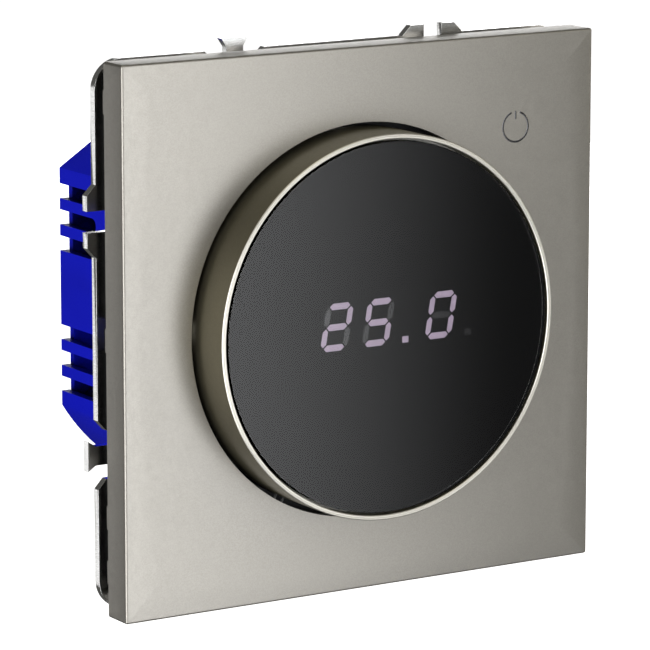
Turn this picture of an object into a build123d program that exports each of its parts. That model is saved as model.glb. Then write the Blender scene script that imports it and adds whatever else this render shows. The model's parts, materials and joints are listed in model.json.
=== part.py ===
from build123d import *
import os
from math import atan2, cos, pi, radians, sin, sqrt, tan

# Flush-mounted room thermostat with a turning dial round a fixed display, in millimetres.
#
# Frame: +Z up, +X to the right seen from the room, the room on the -Y side. The origin is
# the centre of the support frame's rear face, which lies on the wall, so everything in
# front of the wall has a negative Y and the body in the wall box has a positive Y.
# "front" and "rear" below are Y values; a front view is drawn in X and Z.

# ---- driving dimensions ------------------------------------------------------------------
# support frame, a stamped steel sheet
frame_margin = 0.1           # sheet's edges, inside the cover's
frame_thickness = 1.1
frame_corner = 4.0           # corner radius
joint_offset = 15.0          # dovetail and slotted tab, from the middle of each edge
dovetail_neck = 2.5
dovetail_head = 4.0
dovetail_reach = 1.45        # beyond the sheet's edge
dovetail_notch = 8.9         # width of the notch that the dovetail stands in
notch_depth = 2.4
notch_step = 1.3             # narrowing of the notch below its chamfers
notch_chamfer = 1.2
dovetail_straight = 0.3      # straight neck beyond the sheet's edge
joint_overlap = 0.5          # shapes run this far into the sheet that they join
tab_base = 9.3
tab_top = 6.7
tab_reach = 1.25
tab_slot = 2.7
tab_slot_depth = 3.2
box_screw_spacing = 60.0     # wall-box screws, hole to hole
box_slot_length = 5.0
box_slot_radius = 1.75

# cover plate
cover_side = 71.0
cover_depth = 4.6
cover_gap = 2.5              # between the support frame and the cover's rear edge
cover_face = 1.8             # thickness of the front wall
cover_skirt = 1.6            # thickness of the four side walls
cover_edge = 0.28            # rounding of the front edges
pad_height = 0.3
pad_length = 3.2
side_pads = (30.4, 0.2, -22.6, -29.7)
end_pads = (29.0, 0.0, -29.0)
icon_inset = 12.15           # power mark's centre, from the cover's edges
icon_radius = 1.98
icon_line = 0.27
icon_depth = 0.12
icon_gap = 17.0              # half of the ring's opening at the top, degrees
icon_bar = 1.15
latch_height = 13.0          # spring hooks, above and below the middle
latch_width = 7.0
latch_thickness = 1.0
latch_nose = 0.6
latch_nose_depth = 0.8
latch_inset = 0.25           # hook, inside the base's wall
latch_end_gap = 0.3          # hook's end, to the base's floor
latch_window_gap = 0.2       # window, round the nose
latch_window_side = 0.3

# dial
dial_radius = 25.0
dial_rise = 6.3              # dial's front rim, ahead of the cover
dial_wall = 0.63
dial_bevel = 0.12
dial_hole_gap = 0.75         # between the dial and the cover's hole
dial_tail = 2.25             # dial's rear edge, behind the cover's front face
lens_gap = 0.32              # between the lens and the dial's rim
lens_thickness = 1.2
lens_sink = 0.12             # lens, behind the dial's rim
mask_thickness = 0.1
hub_flange = 1.0
hub_wall = 1.4
hub_length = 2.8
liner_wall = 1.52            # dial liner at the bearing
bearing_gap = 0.05           # running fit, radial
axial_gap = 0.1
gear_module = 0.5
gear_width = 1.7
ring_tip_inset = 3.5         # ring gear's tooth tips, inside the dial's outside
pinion_teeth = 16
backlash = 0.10              # taken off each tooth at the pitch circle
pressure_angle = 20.0
dedendum = 1.25              # tooth foot below the pitch circle, in modules
lens_edge = 0.1              # rounding of the lens
hub_disc_gap = 0.15          # hub's disc, inside the lens' edge
module_fit = 0.2             # hub's window, round the display module
leg_radius = 1.7             # hub's three legs
leg_inset = 3.5              # legs, inside the ring gear's pitch circle
leg_angles = (90, 210, 330)
leg_gap = 0.2                # front board, round the legs

# display
digit_height = 6.15
digit_width = 4.15
digit_pitch = 6.2
second_to_third = 9.6        # the decimal point takes a place of its own
point_after = 4.6            # decimal point, from the middle of its digit
point_width = 1.0
digit_slant = 10.0
segment_width = 0.85
segment_gap = 0.10
lit_letters = ("abged", "afgcd", "abcdef")     # 2, 5 and 0
display_x = 0.35
display_z = 0.78
module_width = 30.0
module_height = 11.0
module_depth = 6.6
segment_depth = 0.5
pin_radius = 0.3
pin_pitch = 2.54
pin_columns = 6
pin_row_inset = 1.2          # pin rows, inside the module's edges
pin_tail = 0.6               # pins, behind the front board

# front base and boards
base_gap = 0.6               # base, inside the cover's skirt
base_floor = 1.3
base_wall = 1.2
base_corner = 3.0
base_screw_x = 16.5
base_screw_inset = 6.2       # from the frame's top and bottom edges
base_screw_radius = 1.2
base_screw_boss = 2.0
base_window = 15.0           # radius of the opening for the boards' pins
base_track_wall = 2.0        # wall under the dial
base_cover_gap = 0.3         # base's outer wall, behind the cover's inside
box_screw_well = 3.9         # radius of the opening over each wall-box screw
through_fit = 0.15           # screw in a plain hole, radial
notch_room = 0.3             # ribbon and leads, round and above
track_notch = 5.0            # length of the notches in the wall under the dial
slide_ring_thickness = 0.6
front_board_thickness = 0.8
front_board_gap = 0.4
touch_board_side = 8.6
touch_spring_radius = 1.7
spring_wire = 0.3
encoder_side = 8.0
encoder_shaft_radius = 1.0
encoder_gap = 0.3            # encoder's case, behind the pinion
sensor_radius = 0.9
sensor_angle = 245.0
sensor_offset = 4.4          # outside the dial
lead_radius = 0.2
lead_spacing = 1.2
lead_lap = 1.5               # leads, over the front board
lead_gap = 0.1               # leads' end, to the bead
ribbon_width = 3.6
ribbon_thickness = 0.15
ribbon_lap = 3.0             # ribbon, over the front board
ribbon_end = 0.8             # ribbon, over the touch board's corner
touch_spring_turns = 4
spring_end_gap = 0.05
header_pin_count = 6
header_z = -10.5
header_side = 1.3            # plastic beyond the outer pins
socket_height = 4.0
socket_rear = 2.0            # behind the wall plane
socket_slot_height = 1.0
socket_slot_depth = 4.0
header_height = 3.0
header_front = 4.0
header_pin_reach = 5.0       # pins, ahead of their strip

# housing in the wall box
housing_radius = 28.5        # round flanks, below the middle
housing_half_width = 24.2
housing_top = 25.0
housing_bottom = -25.5
housing_shoulder = 17.0      # height at which the top chamfers leave the sides
housing_slope = 33.0         # top chamfers, from horizontal
housing_depth = 28.9
housing_wall = 1.2
housing_fit = 0.3            # opening of the support frame, round the housing
flange_thickness = 1.0
flange_reach = 1.6
rear_cover_thickness = 1.0
rear_cover_gap = 0.15
vent_width = 2.0
vent_middle = 0.9            # height of the middle of the six vents on a side
vent_heights = (6.0, 9.5, 13.0)
vent_length = 9.8
post_radius = 2.2
post_side = 19.5             # posts beside the terminals: X and Z
post_low = 15.0
post_inner = 14.5            # posts near the top: X and Z
post_high = 19.4
post_web = 6.0               # web from a post to the side wall
post_web_thickness = 1.6
thread_depth = 5.5           # screw holes in the posts
wire_mouth_fit = 0.15
rear_slot_count = 7
rear_slot_pitch = 3.4
rear_slot_length = 12.0
rear_slot_width = 1.6
rear_slot_z = 8.0
rear_head_sink = 2.0         # countersink's radius at the outside, and at its bottom
rear_head_foot = 1.1
driver_hole_inset = 0.25     # driver holes, inside the terminal screws' heads

# power board and its components
power_board_front = 6.4
power_board_thickness = 1.6
power_board_gap = 0.4
relay_size = (18.6, 15.3, 15.0)              # X, Z and Y; each place is its middle in X and Z
relay_place = (-10.6, 7.7)
transformer_size = (13.6, 13.4, 12.0)
transformer_place = (9.8, 8.2)
film_capacitor_size = (10.0, 4.5, 11.0)
film_capacitor_place = (5.4, 20.2)
rectifier_size = (6.5, 4.6, 3.0)
rectifier_place = (6.5, -4.8)
case_edge = 0.5
capacitor_place = (-5.5, 19.3)
capacitor_radius = 3.15
capacitor_length = 11.0
fuse_place = (-17.2, -6.4)
fuse_radius = 3.8
fuse_length = 7.5
fuse_edge = 0.6
varistor_place = (19.6, -4.6)
varistor_radius = 4.0
varistor_thickness = 3.4
varistor_edge = 0.8
varistor_lift = 1.0          # disc, behind the board
varistor_leg = 0.6
varistor_leg_spacing = 4.0

# terminals
pole_count = 4
pole_pitch = 5.6
pole_wall = 1.3              # wall between two poles
block_end = 0.8
block_height = 11.0
block_rear_gap = 0.4         # to the rear cover
clamp_travel = 2.0
wire_radius = 1.45
screw_radius = 1.35
screw_head_radius = 1.95
screw_head_height = 1.6
screw_fit = 0.06
cage_fit = 0.15
cage_sheet = 0.8             # floor of the cage
cage_side = 0.45             # its two side walls
busbar_fit = 0.2
cage_nut = 1.5
cage_height = 7.0
cage_lift_gap = 0.3          # cage, to the block's shelf when it is fully up
cage_end_gap = 0.3           # cage, to the front of its chamber
nut_gap = 0.4                # nut, to the busbar when the cage is fully down
wire_room = 0.3              # cage's opening, over the wire's diameter
chamber_floor = 1.2          # block's plastic under the cages, and behind them
chamber_shelf = 1.2
block_housing_gap = 0.1
head_gap = 0.3               # screw head, to the block's rear
head_bore_fit = 0.15
busbar_thickness = 0.8
busbar_cover = 0.8           # plastic over the busbar's bend
busbar_foot = 1.0            # busbar's end, above the cage's lower edge
busbar_screw_gap = 0.1
screw_slot_width = 0.6
screw_slot_depth = 0.8
screw_head_edge = 0.25

# other screws: head radius and height, slot width and depth
board_screw_radius = 0.9
base_head_radius = 2.2
board_head_radius = 1.9
hub_head_radius = 1.7
hub_head_height = 1.0
hub_thread = 3.0             # screw holes in the hub's legs
hub_screw_length = 2.8
pan_head_height = 1.2
pan_head_edge = 0.3
small_slot_width = 0.4
small_slot_depth = 0.5
board_screw_length = 5.0
rear_head_radius = 1.9
rear_head_end = 1.0          # head's radius at its foot
rear_head_gap = 0.1
rear_thread_fit = 0.02
rear_slot_cut = 0.4

# ---- places that follow from them ---------------------------------------------------------
frame_side = cover_side - 2 * frame_margin
frame_front = -frame_thickness
flange_front = frame_front - flange_thickness
floor_front = flange_front - base_floor
cover_rear = frame_front - cover_gap
cover_front = cover_rear - cover_depth
cover_inside = cover_front + cover_face
dial_front = cover_front - dial_rise
dial_rear = cover_front + dial_tail
dial_bore = dial_radius - dial_wall
lens_radius = dial_bore - lens_gap
lens_front = dial_front + lens_sink
lens_rear = lens_front + lens_thickness
mask_rear = lens_rear + mask_thickness
flange_rear = mask_rear + hub_flange
hub_rear = flange_rear + hub_length
hub_radius = dial_bore - liner_wall - bearing_gap
ring_teeth = 2 * round((dial_radius - ring_tip_inset + gear_module) / gear_module)
ring_pitch_radius = ring_teeth * gear_module / 2
pinion_pitch_radius = pinion_teeth * gear_module / 2
pinion_z = -(ring_pitch_radius - pinion_pitch_radius)
gear_front = hub_rear + 3 * axial_gap
gear_rear = gear_front + gear_width
slide_front = dial_rear + axial_gap
slide_rear = slide_front + slide_ring_thickness
track_inner = dial_radius - base_track_wall
track_outer = dial_radius - axial_gap
front_board_front = floor_front - front_board_thickness
front_board_radius = track_inner - front_board_gap
sensor_circle = dial_radius + sensor_offset
header_half = (header_pin_count - 1) / 2 * pin_pitch + header_side
header_pins_at = [(i - (header_pin_count - 1) / 2) * pin_pitch for i in range(header_pin_count)]
leg_circle = ring_pitch_radius - leg_inset
icon_place = cover_side / 2 - icon_inset
pin_columns_at = [(i - (pin_columns - 1) / 2) * pin_pitch for i in range(pin_columns)]
first_digit = -(digit_pitch + second_to_third) / 2
digit_centres = (first_digit, first_digit + digit_pitch, -first_digit)
power_board_rear = power_board_front + power_board_thickness
rear_cover_front = housing_depth - rear_cover_thickness
base_side = cover_side - 2 * (cover_skirt + base_gap)

block_width = pole_count * pole_pitch + 2 * block_end
block_bottom = housing_bottom + housing_wall + block_housing_gap
block_rear = rear_cover_front - block_rear_gap
pole_places = [(i - (pole_count - 1) / 2) * pole_pitch for i in range(pole_count)]
pole_width = pole_pitch - pole_wall
cage_width = pole_width - 2 * cage_fit
cage_opening = 2 * wire_radius + wire_room
cage_z = block_bottom + chamber_floor + cage_height / 2 + cage_fit
head_rear = block_rear - head_gap
head_front = head_rear - screw_head_height
shelf_rear = head_front - axial_gap
shelf_front = shelf_rear - chamber_shelf
cage_rear = shelf_front - clamp_travel - cage_lift_gap
nut_front = cage_rear - cage_nut
cage_front = nut_front - nut_gap - busbar_thickness - clamp_travel - cage_opening - cage_sheet
cage_floor = cage_front + cage_sheet
busbar_front = cage_floor + cage_opening
busbar_rear = busbar_front + busbar_thickness
wire_y = (cage_floor + busbar_front) / 2
posts = [(side * x, z) for x, z in ((post_side, -post_low), (post_inner, post_high)) for side in (1, -1)]
base_screw_z = frame_side / 2 - base_screw_inset
base_screws_at = [(x, z) for x in (-base_screw_x, base_screw_x) for z in (-base_screw_z, base_screw_z)]
latch_places = [(side, z) for side in (-1, 1) for z in (-latch_height, latch_height)]
latch_outer = base_side / 2 - base_wall - latch_inset
latch_rear = floor_front - latch_end_gap


# ---- helpers ------------------------------------------------------------------------------
def slab(view, front, rear):
    """A front view (drawn in X and Z) made solid between two Y values."""
    return extrude(Plane.XZ.offset(-rear) * view, rear - front, dir=(0, -1, 0))


def block(x0, x1, y0, y1, z0, z1):
    return Pos((x0 + x1) / 2, (y0 + y1) / 2, (z0 + z1) / 2) * Box(x1 - x0, y1 - y0, z1 - z0)


def rod(x, z, radius, front, rear):
    """A round bar along Y."""
    return slab(Pos(x, z) * Circle(radius), front, rear)


def tube(outer, inner, front, rear):
    return slab(Circle(outer) - Circle(inner), front, rear)


def cone(x, z, front_radius, rear_radius, front, rear):
    place = Plane(origin=(x, rear, z), x_dir=(1, 0, 0), z_dir=(0, -1, 0))
    shape = Solid.make_cone(rear_radius, front_radius, rear - front)
    return place * shape


def polar(radius, angle):
    return radius * cos(radians(angle)), radius * sin(radians(angle))


def outline(*corners):
    """Straight-edged view through corners given in either direction."""
    following = corners[1:] + corners[:1]
    area = sum(x0 * z1 - x1 * z0 for (x0, z0), (x1, z1) in zip(corners, following))
    return Polygon(*(corners if area > 0 else corners[::-1]), align=None)


def rounded_square(side, corner):
    return RectangleRounded(side, side, corner)


def save(name, shape):
    """Write a node: one solid, or a group of separate identical solids."""
    pieces = shape if isinstance(shape, list) else [shape]
    solids = [solid for piece in pieces for solid in piece.solids()]
    whole = solids[0] if len(solids) == 1 else Compound(children=solids)
    export_step(whole, os.path.join("parts", name + ".step"))


# ---- support frame ------------------------------------------------------------------------
def edge_joints(side):
    """What one edge adds and what it loses, drawn on the top edge (+Z)."""
    edge = side / 2
    neck, head, notch = dovetail_neck / 2, dovetail_head / 2, dovetail_notch / 2
    left = -joint_offset
    key = outline(
        (left - neck, edge - notch_depth - joint_overlap), (left - neck, edge + dovetail_straight),
        (left - head, edge + dovetail_reach), (left + head, edge + dovetail_reach),
        (left + neck, edge + dovetail_straight), (left + neck, edge - notch_depth - joint_overlap))
    narrow = notch - notch_step
    recess = outline(
        (left - notch, edge + joint_overlap), (left - notch, edge), (left - narrow, edge - notch_chamfer),
        (left - narrow, edge - notch_depth), (left + narrow, edge - notch_depth),
        (left + narrow, edge - notch_chamfer), (left + notch, edge), (left + notch, edge + joint_overlap))
    right = joint_offset
    tab = outline(
        (right - tab_base / 2, edge - joint_overlap), (right - tab_base / 2, edge),
        (right - tab_top / 2, edge + tab_reach), (right + tab_top / 2, edge + tab_reach),
        (right + tab_base / 2, edge), (right + tab_base / 2, edge - joint_overlap))
    slot = Pos(right, edge + (tab_reach - tab_slot_depth) / 2) * Rectangle(
        tab_slot, tab_slot_depth + tab_reach)
    return key, recess, tab, slot


def housing_view(grow=0.0):
    """Outline of the body in the wall box, larger all round by grow."""
    half, top, bottom = housing_half_width + grow, housing_top + grow, housing_bottom - grow
    slope = tan(radians(housing_slope))
    shoulder = housing_shoulder + grow / cos(radians(housing_slope)) - grow * slope
    run = (top - shoulder) / slope
    room = outline(
        (-half, bottom), (-half, shoulder), (-half + run, top),
        (half - run, top), (half, shoulder), (half, bottom))
    upper = outline((-2 * half, 0), (2 * half, 0), (2 * half, 2 * top), (-2 * half, 2 * top))
    return room & (Circle(housing_radius + grow) + upper)


def make_support_frame():
    view = rounded_square(frame_side, frame_corner)
    for turn in (0, 90, 180, 270):
        key, recess, tab, slot = (Rot(0, 0, turn) * piece for piece in edge_joints(frame_side))
        view = view - recess + key + tab - slot
    view -= housing_view(housing_fit)
    for x, z, turn in ((1, 0, 0), (-1, 0, 0), (0, 1, 90), (0, -1, 90)):
        slot = SlotOverall(box_slot_length, 2 * box_slot_radius)
        view -= Pos(x * box_screw_spacing / 2, z * box_screw_spacing / 2) * Rot(0, 0, turn) * slot
    for x, z in base_screws_at:
        view -= Pos(x, z) * Circle(base_screw_radius)
    return slab(view, frame_front, 0)


# ---- cover plate --------------------------------------------------------------------------
def icon_view(line):
    """Ring open at the top, with a bar in the opening."""
    ring = Circle(icon_radius + line / 2) - Circle(icon_radius - line / 2)
    reach = icon_radius + 1
    ring -= outline((0, 0), (-reach * tan(radians(icon_gap)), reach),
                    (reach * tan(radians(icon_gap)), reach))
    bar = Pos(0, icon_radius + line / 2 - icon_bar / 2) * Rectangle(line, icon_bar)
    return [Pos(icon_place, icon_place) * ring, Pos(icon_place, icon_place) * bar]


def make_cover_plate():
    shell = slab(Rectangle(cover_side, cover_side), cover_front, cover_rear)
    front = shell.faces().sort_by(Axis.Y)[0]
    corners = shell.edges().filter_by(Axis.Y)
    shell = fillet(list(front.edges()) + list(corners), cover_edge)
    inside = cover_side - 2 * cover_skirt
    shell -= slab(Rectangle(inside, inside), cover_inside, cover_rear)
    shell -= rod(0, 0, dial_radius + dial_hole_gap, cover_front, cover_inside)
    for mark in icon_view(icon_line):
        shell -= slab(mark, cover_front, cover_front + icon_depth)
    middle = cover_side / 2 - cover_skirt / 2
    for side in (-1, 1):
        for z in side_pads:
            shell += block(side * middle - cover_skirt / 2, side * middle + cover_skirt / 2,
                           cover_rear, cover_rear + pad_height, z - pad_length / 2, z + pad_length / 2)
        for x in end_pads:
            shell += block(x - pad_length / 2, x + pad_length / 2, cover_rear, cover_rear + pad_height,
                           side * middle - cover_skirt / 2, side * middle + cover_skirt / 2)
    for side, z in latch_places:
        shell += latch(side, z)
    return shell


def latch(side, z):
    """Spring hook on the cover's back, with its nose in a window of the base's wall."""
    outer = side * latch_outer
    inner = side * (latch_outer - latch_thickness)
    stem = block(min(outer, inner), max(outer, inner), cover_inside, latch_rear,
                 z - latch_width / 2, z + latch_width / 2)
    nose_end = side * (latch_outer + latch_nose)
    nose = block(min(outer, nose_end), max(outer, nose_end), latch_rear - latch_nose_depth, latch_rear,
                 z - latch_width / 2, z + latch_width / 2)
    return stem + nose


def make_power_icon():
    return [slab(mark, cover_front, cover_front + icon_depth) for mark in icon_view(icon_line)]


# ---- dial -----------------------------------------------------------------------------------
def make_dial_ring():
    ring = tube(dial_radius, dial_bore, dial_front, dial_rear)
    rims = ring.faces().sort_by(Axis.Y)[0].edges()
    return chamfer(rims, dial_bevel)


def involute_point(base_radius, radius):
    """Angle swept by an involute from its base circle to a radius."""
    roll = sqrt(max((radius / base_radius) ** 2 - 1, 0))
    return roll - atan2(roll, 1)


def gear_view(teeth, inner, outer, slack):
    """Outline of an involute wheel: its teeth stand between the inner and outer circles.

    slack narrows the teeth at the pitch circle, or widens them when it is negative, as
    for the spaces of an internal gear.
    """
    pitch = teeth * gear_module / 2
    base_radius = pitch * cos(radians(pressure_angle))
    half = pi / (2 * teeth) - slack / (2 * pitch)
    at_pitch = involute_point(base_radius, pitch)
    radii = [max(inner, base_radius), pitch, outer]
    flank = [(r, half + at_pitch - involute_point(base_radius, r)) for r in radii]
    points = []
    for number in range(teeth):
        middle = 2 * pi * number / teeth - pi / 2
        rising = [(r, middle - a) for r, a in flank]
        falling = [(r, middle + a) for r, a in reversed(flank)]
        foot = [(inner, rising[0][1])] if inner < base_radius else []
        toe = [(inner, falling[-1][1])] if inner < base_radius else []
        points += [(r * cos(a), r * sin(a)) for r, a in foot + rising + falling + toe]
    return outline(*points)


def make_dial_gear():
    """Liner of the dial: bearing bore in front, internal teeth behind it."""
    front = flange_rear + axial_gap
    bore = hub_radius + bearing_gap
    relief = track_inner + axial_gap
    liner = tube(dial_bore, bore, front, gear_front)
    tip = ring_pitch_radius - gear_module
    root = ring_pitch_radius + dedendum * gear_module
    toothed = Circle(dial_bore) - gear_view(ring_teeth, tip, root, -backlash)
    liner += slab(toothed, gear_front, gear_rear)
    liner += tube(dial_bore, relief, gear_rear, dial_rear)
    return liner


def make_encoder_pinion():
    tip = pinion_pitch_radius + gear_module
    root = pinion_pitch_radius - dedendum * gear_module
    teeth = Pos(0, pinion_z) * gear_view(pinion_teeth, root, tip, backlash)
    wheel = slab(teeth, gear_front + axial_gap, gear_rear - axial_gap)
    return wheel - rod(0, pinion_z, encoder_shaft_radius + bearing_gap, gear_front, gear_rear)


def make_encoder():
    half = encoder_side / 2
    front = gear_rear + encoder_gap
    body = block(-half, half, front, front_board_front, pinion_z - half, pinion_z + half)
    return body + rod(0, pinion_z, encoder_shaft_radius, gear_front, front)


def make_slide_ring():
    return tube(track_outer, track_inner, slide_front, slide_rear)


# ---- display --------------------------------------------------------------------------------
def make_display_lens():
    lens = rod(0, 0, lens_radius, lens_front, lens_rear)
    return fillet(lens.faces().sort_by(Axis.Y)[0].edges(), lens_edge)


def segment_bar(length, upright):
    """Six-sided bar with pointed ends, centred, before the slant."""
    half, tip = length / 2 - segment_gap, segment_width / 2
    points = [(-half, 0), (-half + tip, tip), (half - tip, tip), (half, 0), (half - tip, -tip),
              (-half + tip, -tip)]
    if upright:
        points = [(z, x) for x, z in points]
    return points


def digit_segments(centre):
    """The seven slanted bars of a digit, by letter."""
    width = digit_width - segment_width
    height = (digit_height - segment_width) / 2
    places = {"a": (0, height, False), "g": (0, 0, False), "d": (0, -height, False),
              "f": (-width / 2, height / 2, True), "b": (width / 2, height / 2, True),
              "e": (-width / 2, -height / 2, True), "c": (width / 2, -height / 2, True)}
    lean = tan(radians(digit_slant))
    bars = {}
    for letter, (x, z, upright) in places.items():
        corners = [(x + px, z + pz) for px, pz in segment_bar(height if upright else width, upright)]
        corners = [(display_x + centre + px + pz * lean, display_z + pz) for px, pz in corners]
        bars[letter] = outline(*corners)
    return bars


def point_views():
    """A decimal point after each of the last two digits."""
    lean = tan(radians(digit_slant))
    low = -(digit_height - segment_width) / 2
    return [Pos(display_x + x + point_after + low * lean, display_z + low)
            * Rectangle(point_width, segment_width) for x in digit_centres[1:]]


def display_views(lit):
    """Front views of the bars that glow, or of those that are dark."""
    views = []
    for centre, letters in zip(digit_centres, lit_letters):
        views += [bar for letter, bar in digit_segments(centre).items() if (letter in letters) == lit]
    points = point_views()
    return views + ([points[0]] if lit else [points[1]])


def make_display_mask():
    mask = Circle(lens_radius)
    for bar in display_views(True) + display_views(False):
        mask -= bar
    return slab(mask, lens_rear, mask_rear)


def module_body():
    half, tall = module_width / 2, module_height / 2
    return block(display_x - half, display_x + half, mask_rear, mask_rear + module_depth,
                 display_z - tall, display_z + tall)


def make_display_module():
    body = module_body()
    for bar in display_views(True) + display_views(False):
        body -= slab(bar, mask_rear, mask_rear + segment_depth)
    return body


def make_segments(lit):
    return [slab(bar, mask_rear, mask_rear + segment_depth) for bar in display_views(lit)]


def pin_places():
    return [(display_x + x, display_z + row * (module_height / 2 - pin_row_inset))
            for x in pin_columns_at for row in (-1, 1)]


def make_display_pins():
    return [rod(x, z, pin_radius, mask_rear + module_depth, floor_front + pin_tail) for x, z in pin_places()]


def make_display_hub():
    """Fixed hub: carries lens and display, and is the dial's bearing."""
    hub = rod(0, 0, lens_radius - hub_disc_gap, mask_rear, flange_rear)
    hub += tube(hub_radius, hub_radius - hub_wall, flange_rear, hub_rear)
    for angle in leg_angles:
        x, z = polar(leg_circle, angle)
        hub += rod(x, z, leg_radius, flange_rear, floor_front)
        hub -= rod(x, z, board_screw_radius, floor_front - hub_thread, floor_front)
    half, tall = module_width / 2 + module_fit, module_height / 2 + module_fit
    return hub - block(display_x - half, display_x + half, mask_rear, flange_rear,
                       display_z - tall, display_z + tall)


# ---- front base and what stands on it ----------------------------------------------------
def make_front_base():
    outer = rounded_square(base_side, base_corner)
    inner = rounded_square(base_side - 2 * base_wall, base_corner - base_wall)
    base = slab(outer, floor_front, flange_front)
    base += slab(outer - inner, cover_inside + base_cover_gap, floor_front)
    base += tube(track_outer, track_inner, slide_rear, floor_front)
    base -= rod(0, 0, base_window, floor_front, flange_front)
    for x, z in ((1, 0), (-1, 0), (0, 1), (0, -1)):
        base -= rod(x * box_screw_spacing / 2, z * box_screw_spacing / 2, box_screw_well,
                    cover_inside, flange_front)
    for side, z in latch_places:
        wall = side * (base_side / 2 - base_wall / 2)
        half = latch_width / 2 + latch_window_side
        base -= block(wall - base_wall, wall + base_wall, latch_rear - latch_nose_depth - latch_window_gap,
                      latch_rear + latch_window_gap, z - half, z + half)
    for x, z in base_screws_at:
        base += rod(x, z, base_screw_boss, flange_front, frame_front)
        base -= rod(x, z, base_screw_radius + through_fit, floor_front, frame_front)
    for angle in leg_angles:
        x, z = polar(leg_circle, angle)
        base -= rod(x, z, board_screw_radius + through_fit, floor_front, flange_front)
    for angle, width in ((45, ribbon_width), (sensor_angle, lead_spacing + 2 * lead_radius)):
        notch = Pos(dial_radius - base_track_wall / 2, 0) * Rectangle(track_notch, width + 2 * notch_room)
        base -= slab(Rot(0, 0, angle) * notch, slide_rear + notch_room, floor_front)
    return base


def make_front_board():
    view = Circle(front_board_radius)
    for angle in leg_angles:
        view -= Pos(*polar(leg_circle, angle)) * Circle(leg_radius + leg_gap)
    for x, z in pin_places():
        view -= Pos(x, z) * Circle(pin_radius)
    return slab(view, front_board_front, floor_front)


def make_touch_board():
    view = Pos(icon_place, icon_place) * Rectangle(touch_board_side, touch_board_side)
    return slab(view, front_board_front, floor_front)


def make_touch_spring():
    """Coil spring that carries the cover's touch point to its board."""
    rear = front_board_front - spring_wire / 2
    length = rear - (cover_inside + spring_wire / 2 + spring_end_gap)
    path = Helix(length / touch_spring_turns, length, touch_spring_radius - spring_wire / 2)
    start = Plane(origin=path @ 0, z_dir=path % 0)
    coil = sweep(start * Circle(spring_wire / 2), path=path, is_frenet=True)
    place = Plane(origin=(icon_place, rear, icon_place), x_dir=(1, 0, 0), z_dir=(0, -1, 0))
    return place * coil


def make_touch_ribbon():
    far = sqrt(2) * (icon_place - touch_board_side / 2) + ribbon_end
    near = front_board_radius - ribbon_lap
    strip = Pos((near + far) / 2, 0) * Rectangle(far - near, ribbon_width)
    return slab(Rot(0, 0, 45) * strip, front_board_front - ribbon_thickness, front_board_front)


def make_temperature_sensor():
    x, z = polar(sensor_circle, sensor_angle)
    y = front_board_front - lead_radius
    return Pos(x, y, z) * Sphere(sensor_radius)


def make_sensor_leads():
    leads = []
    turn = radians(sensor_angle)
    for side in (-0.5, 0.5):
        start = front_board_radius - lead_lap
        bead = sensor_circle - sensor_radius - lead_gap
        shift = side * lead_spacing
        place = Plane(origin=(start * cos(turn) - shift * sin(turn), front_board_front - lead_radius,
                              start * sin(turn) + shift * cos(turn)),
                      x_dir=(0, 1, 0), z_dir=(cos(turn), 0, sin(turn)))
        leads.append(place * Solid.make_cylinder(lead_radius, bead - start))
    return leads


def make_board_socket():
    tall, slot = socket_height / 2, socket_slot_height / 2
    inside = header_half - header_side / 2
    body = block(-header_half, header_half, floor_front, socket_rear, header_z - tall, header_z + tall)
    return body - block(-inside, inside, socket_rear - socket_slot_depth, socket_rear,
                        header_z - slot, header_z + slot)


def make_header_strip():
    tall = header_height / 2
    return block(-header_half, header_half, header_front, power_board_front, header_z - tall, header_z + tall)


def make_header_pins():
    front = header_front - header_pin_reach
    return [rod(x, header_z, pin_radius, front, header_front) for x in header_pins_at]


# ---- housing --------------------------------------------------------------------------------
def make_housing():
    shell = slab(housing_view(), frame_front, housing_depth)
    shell += slab(housing_view(flange_reach), flange_front, frame_front)
    shell -= slab(housing_view(-housing_wall), flange_front, housing_depth)
    room = slab(housing_view(-housing_wall / 2), power_board_rear, rear_cover_front)
    for x, z in posts:
        towards = 1.0 if x > 0 else -1.0
        end = x + post_web * towards
        web = block(min(x, end), max(x, end), power_board_rear, rear_cover_front,
                    z - post_web_thickness / 2, z + post_web_thickness / 2)
        shell += (rod(x, z, post_radius, power_board_rear, rear_cover_front) + web) & room
    for x, z in posts:
        shell -= rod(x, z, board_screw_radius, power_board_rear, power_board_rear + thread_depth)
        shell -= rod(x, z, board_screw_radius, rear_cover_front - thread_depth, rear_cover_front)
    vent_front = housing_depth - vent_length
    for side in (-1, 1):
        wall = side * housing_half_width
        for height in vent_heights:
            for z in (vent_middle - height, vent_middle + height):
                shell -= block(wall - 1.5 * housing_wall, wall + 1.5 * housing_wall,
                               vent_front + vent_width / 2, housing_depth,
                               z - vent_width / 2, z + vent_width / 2)
                end = Pos(wall, vent_front + vent_width / 2, z) * Rot(0, 90, 0)
                shell -= end * Cylinder(vent_width / 2, 3 * housing_wall)
    for x in pole_places:
        shell -= Pos(x, wire_y, housing_bottom) * Cylinder(wire_radius + wire_mouth_fit, 4 * housing_wall)
    return shell


def make_rear_cover():
    plate = slab(housing_view(-housing_wall - rear_cover_gap), rear_cover_front, housing_depth)
    for x, z in posts:
        plate -= cone(x, z, rear_head_foot, rear_head_sink, rear_cover_front, housing_depth)
    for x in pole_places:
        plate -= rod(x, cage_z, screw_head_radius - driver_hole_inset, rear_cover_front, housing_depth)
    for i in range(rear_slot_count):
        place = Pos((i - (rear_slot_count - 1) / 2) * rear_slot_pitch, rear_slot_z)
        slot = place * SlotOverall(rear_slot_length, rear_slot_width, rotation=90)
        plate -= slab(slot, rear_cover_front, housing_depth)
    return plate


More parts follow.
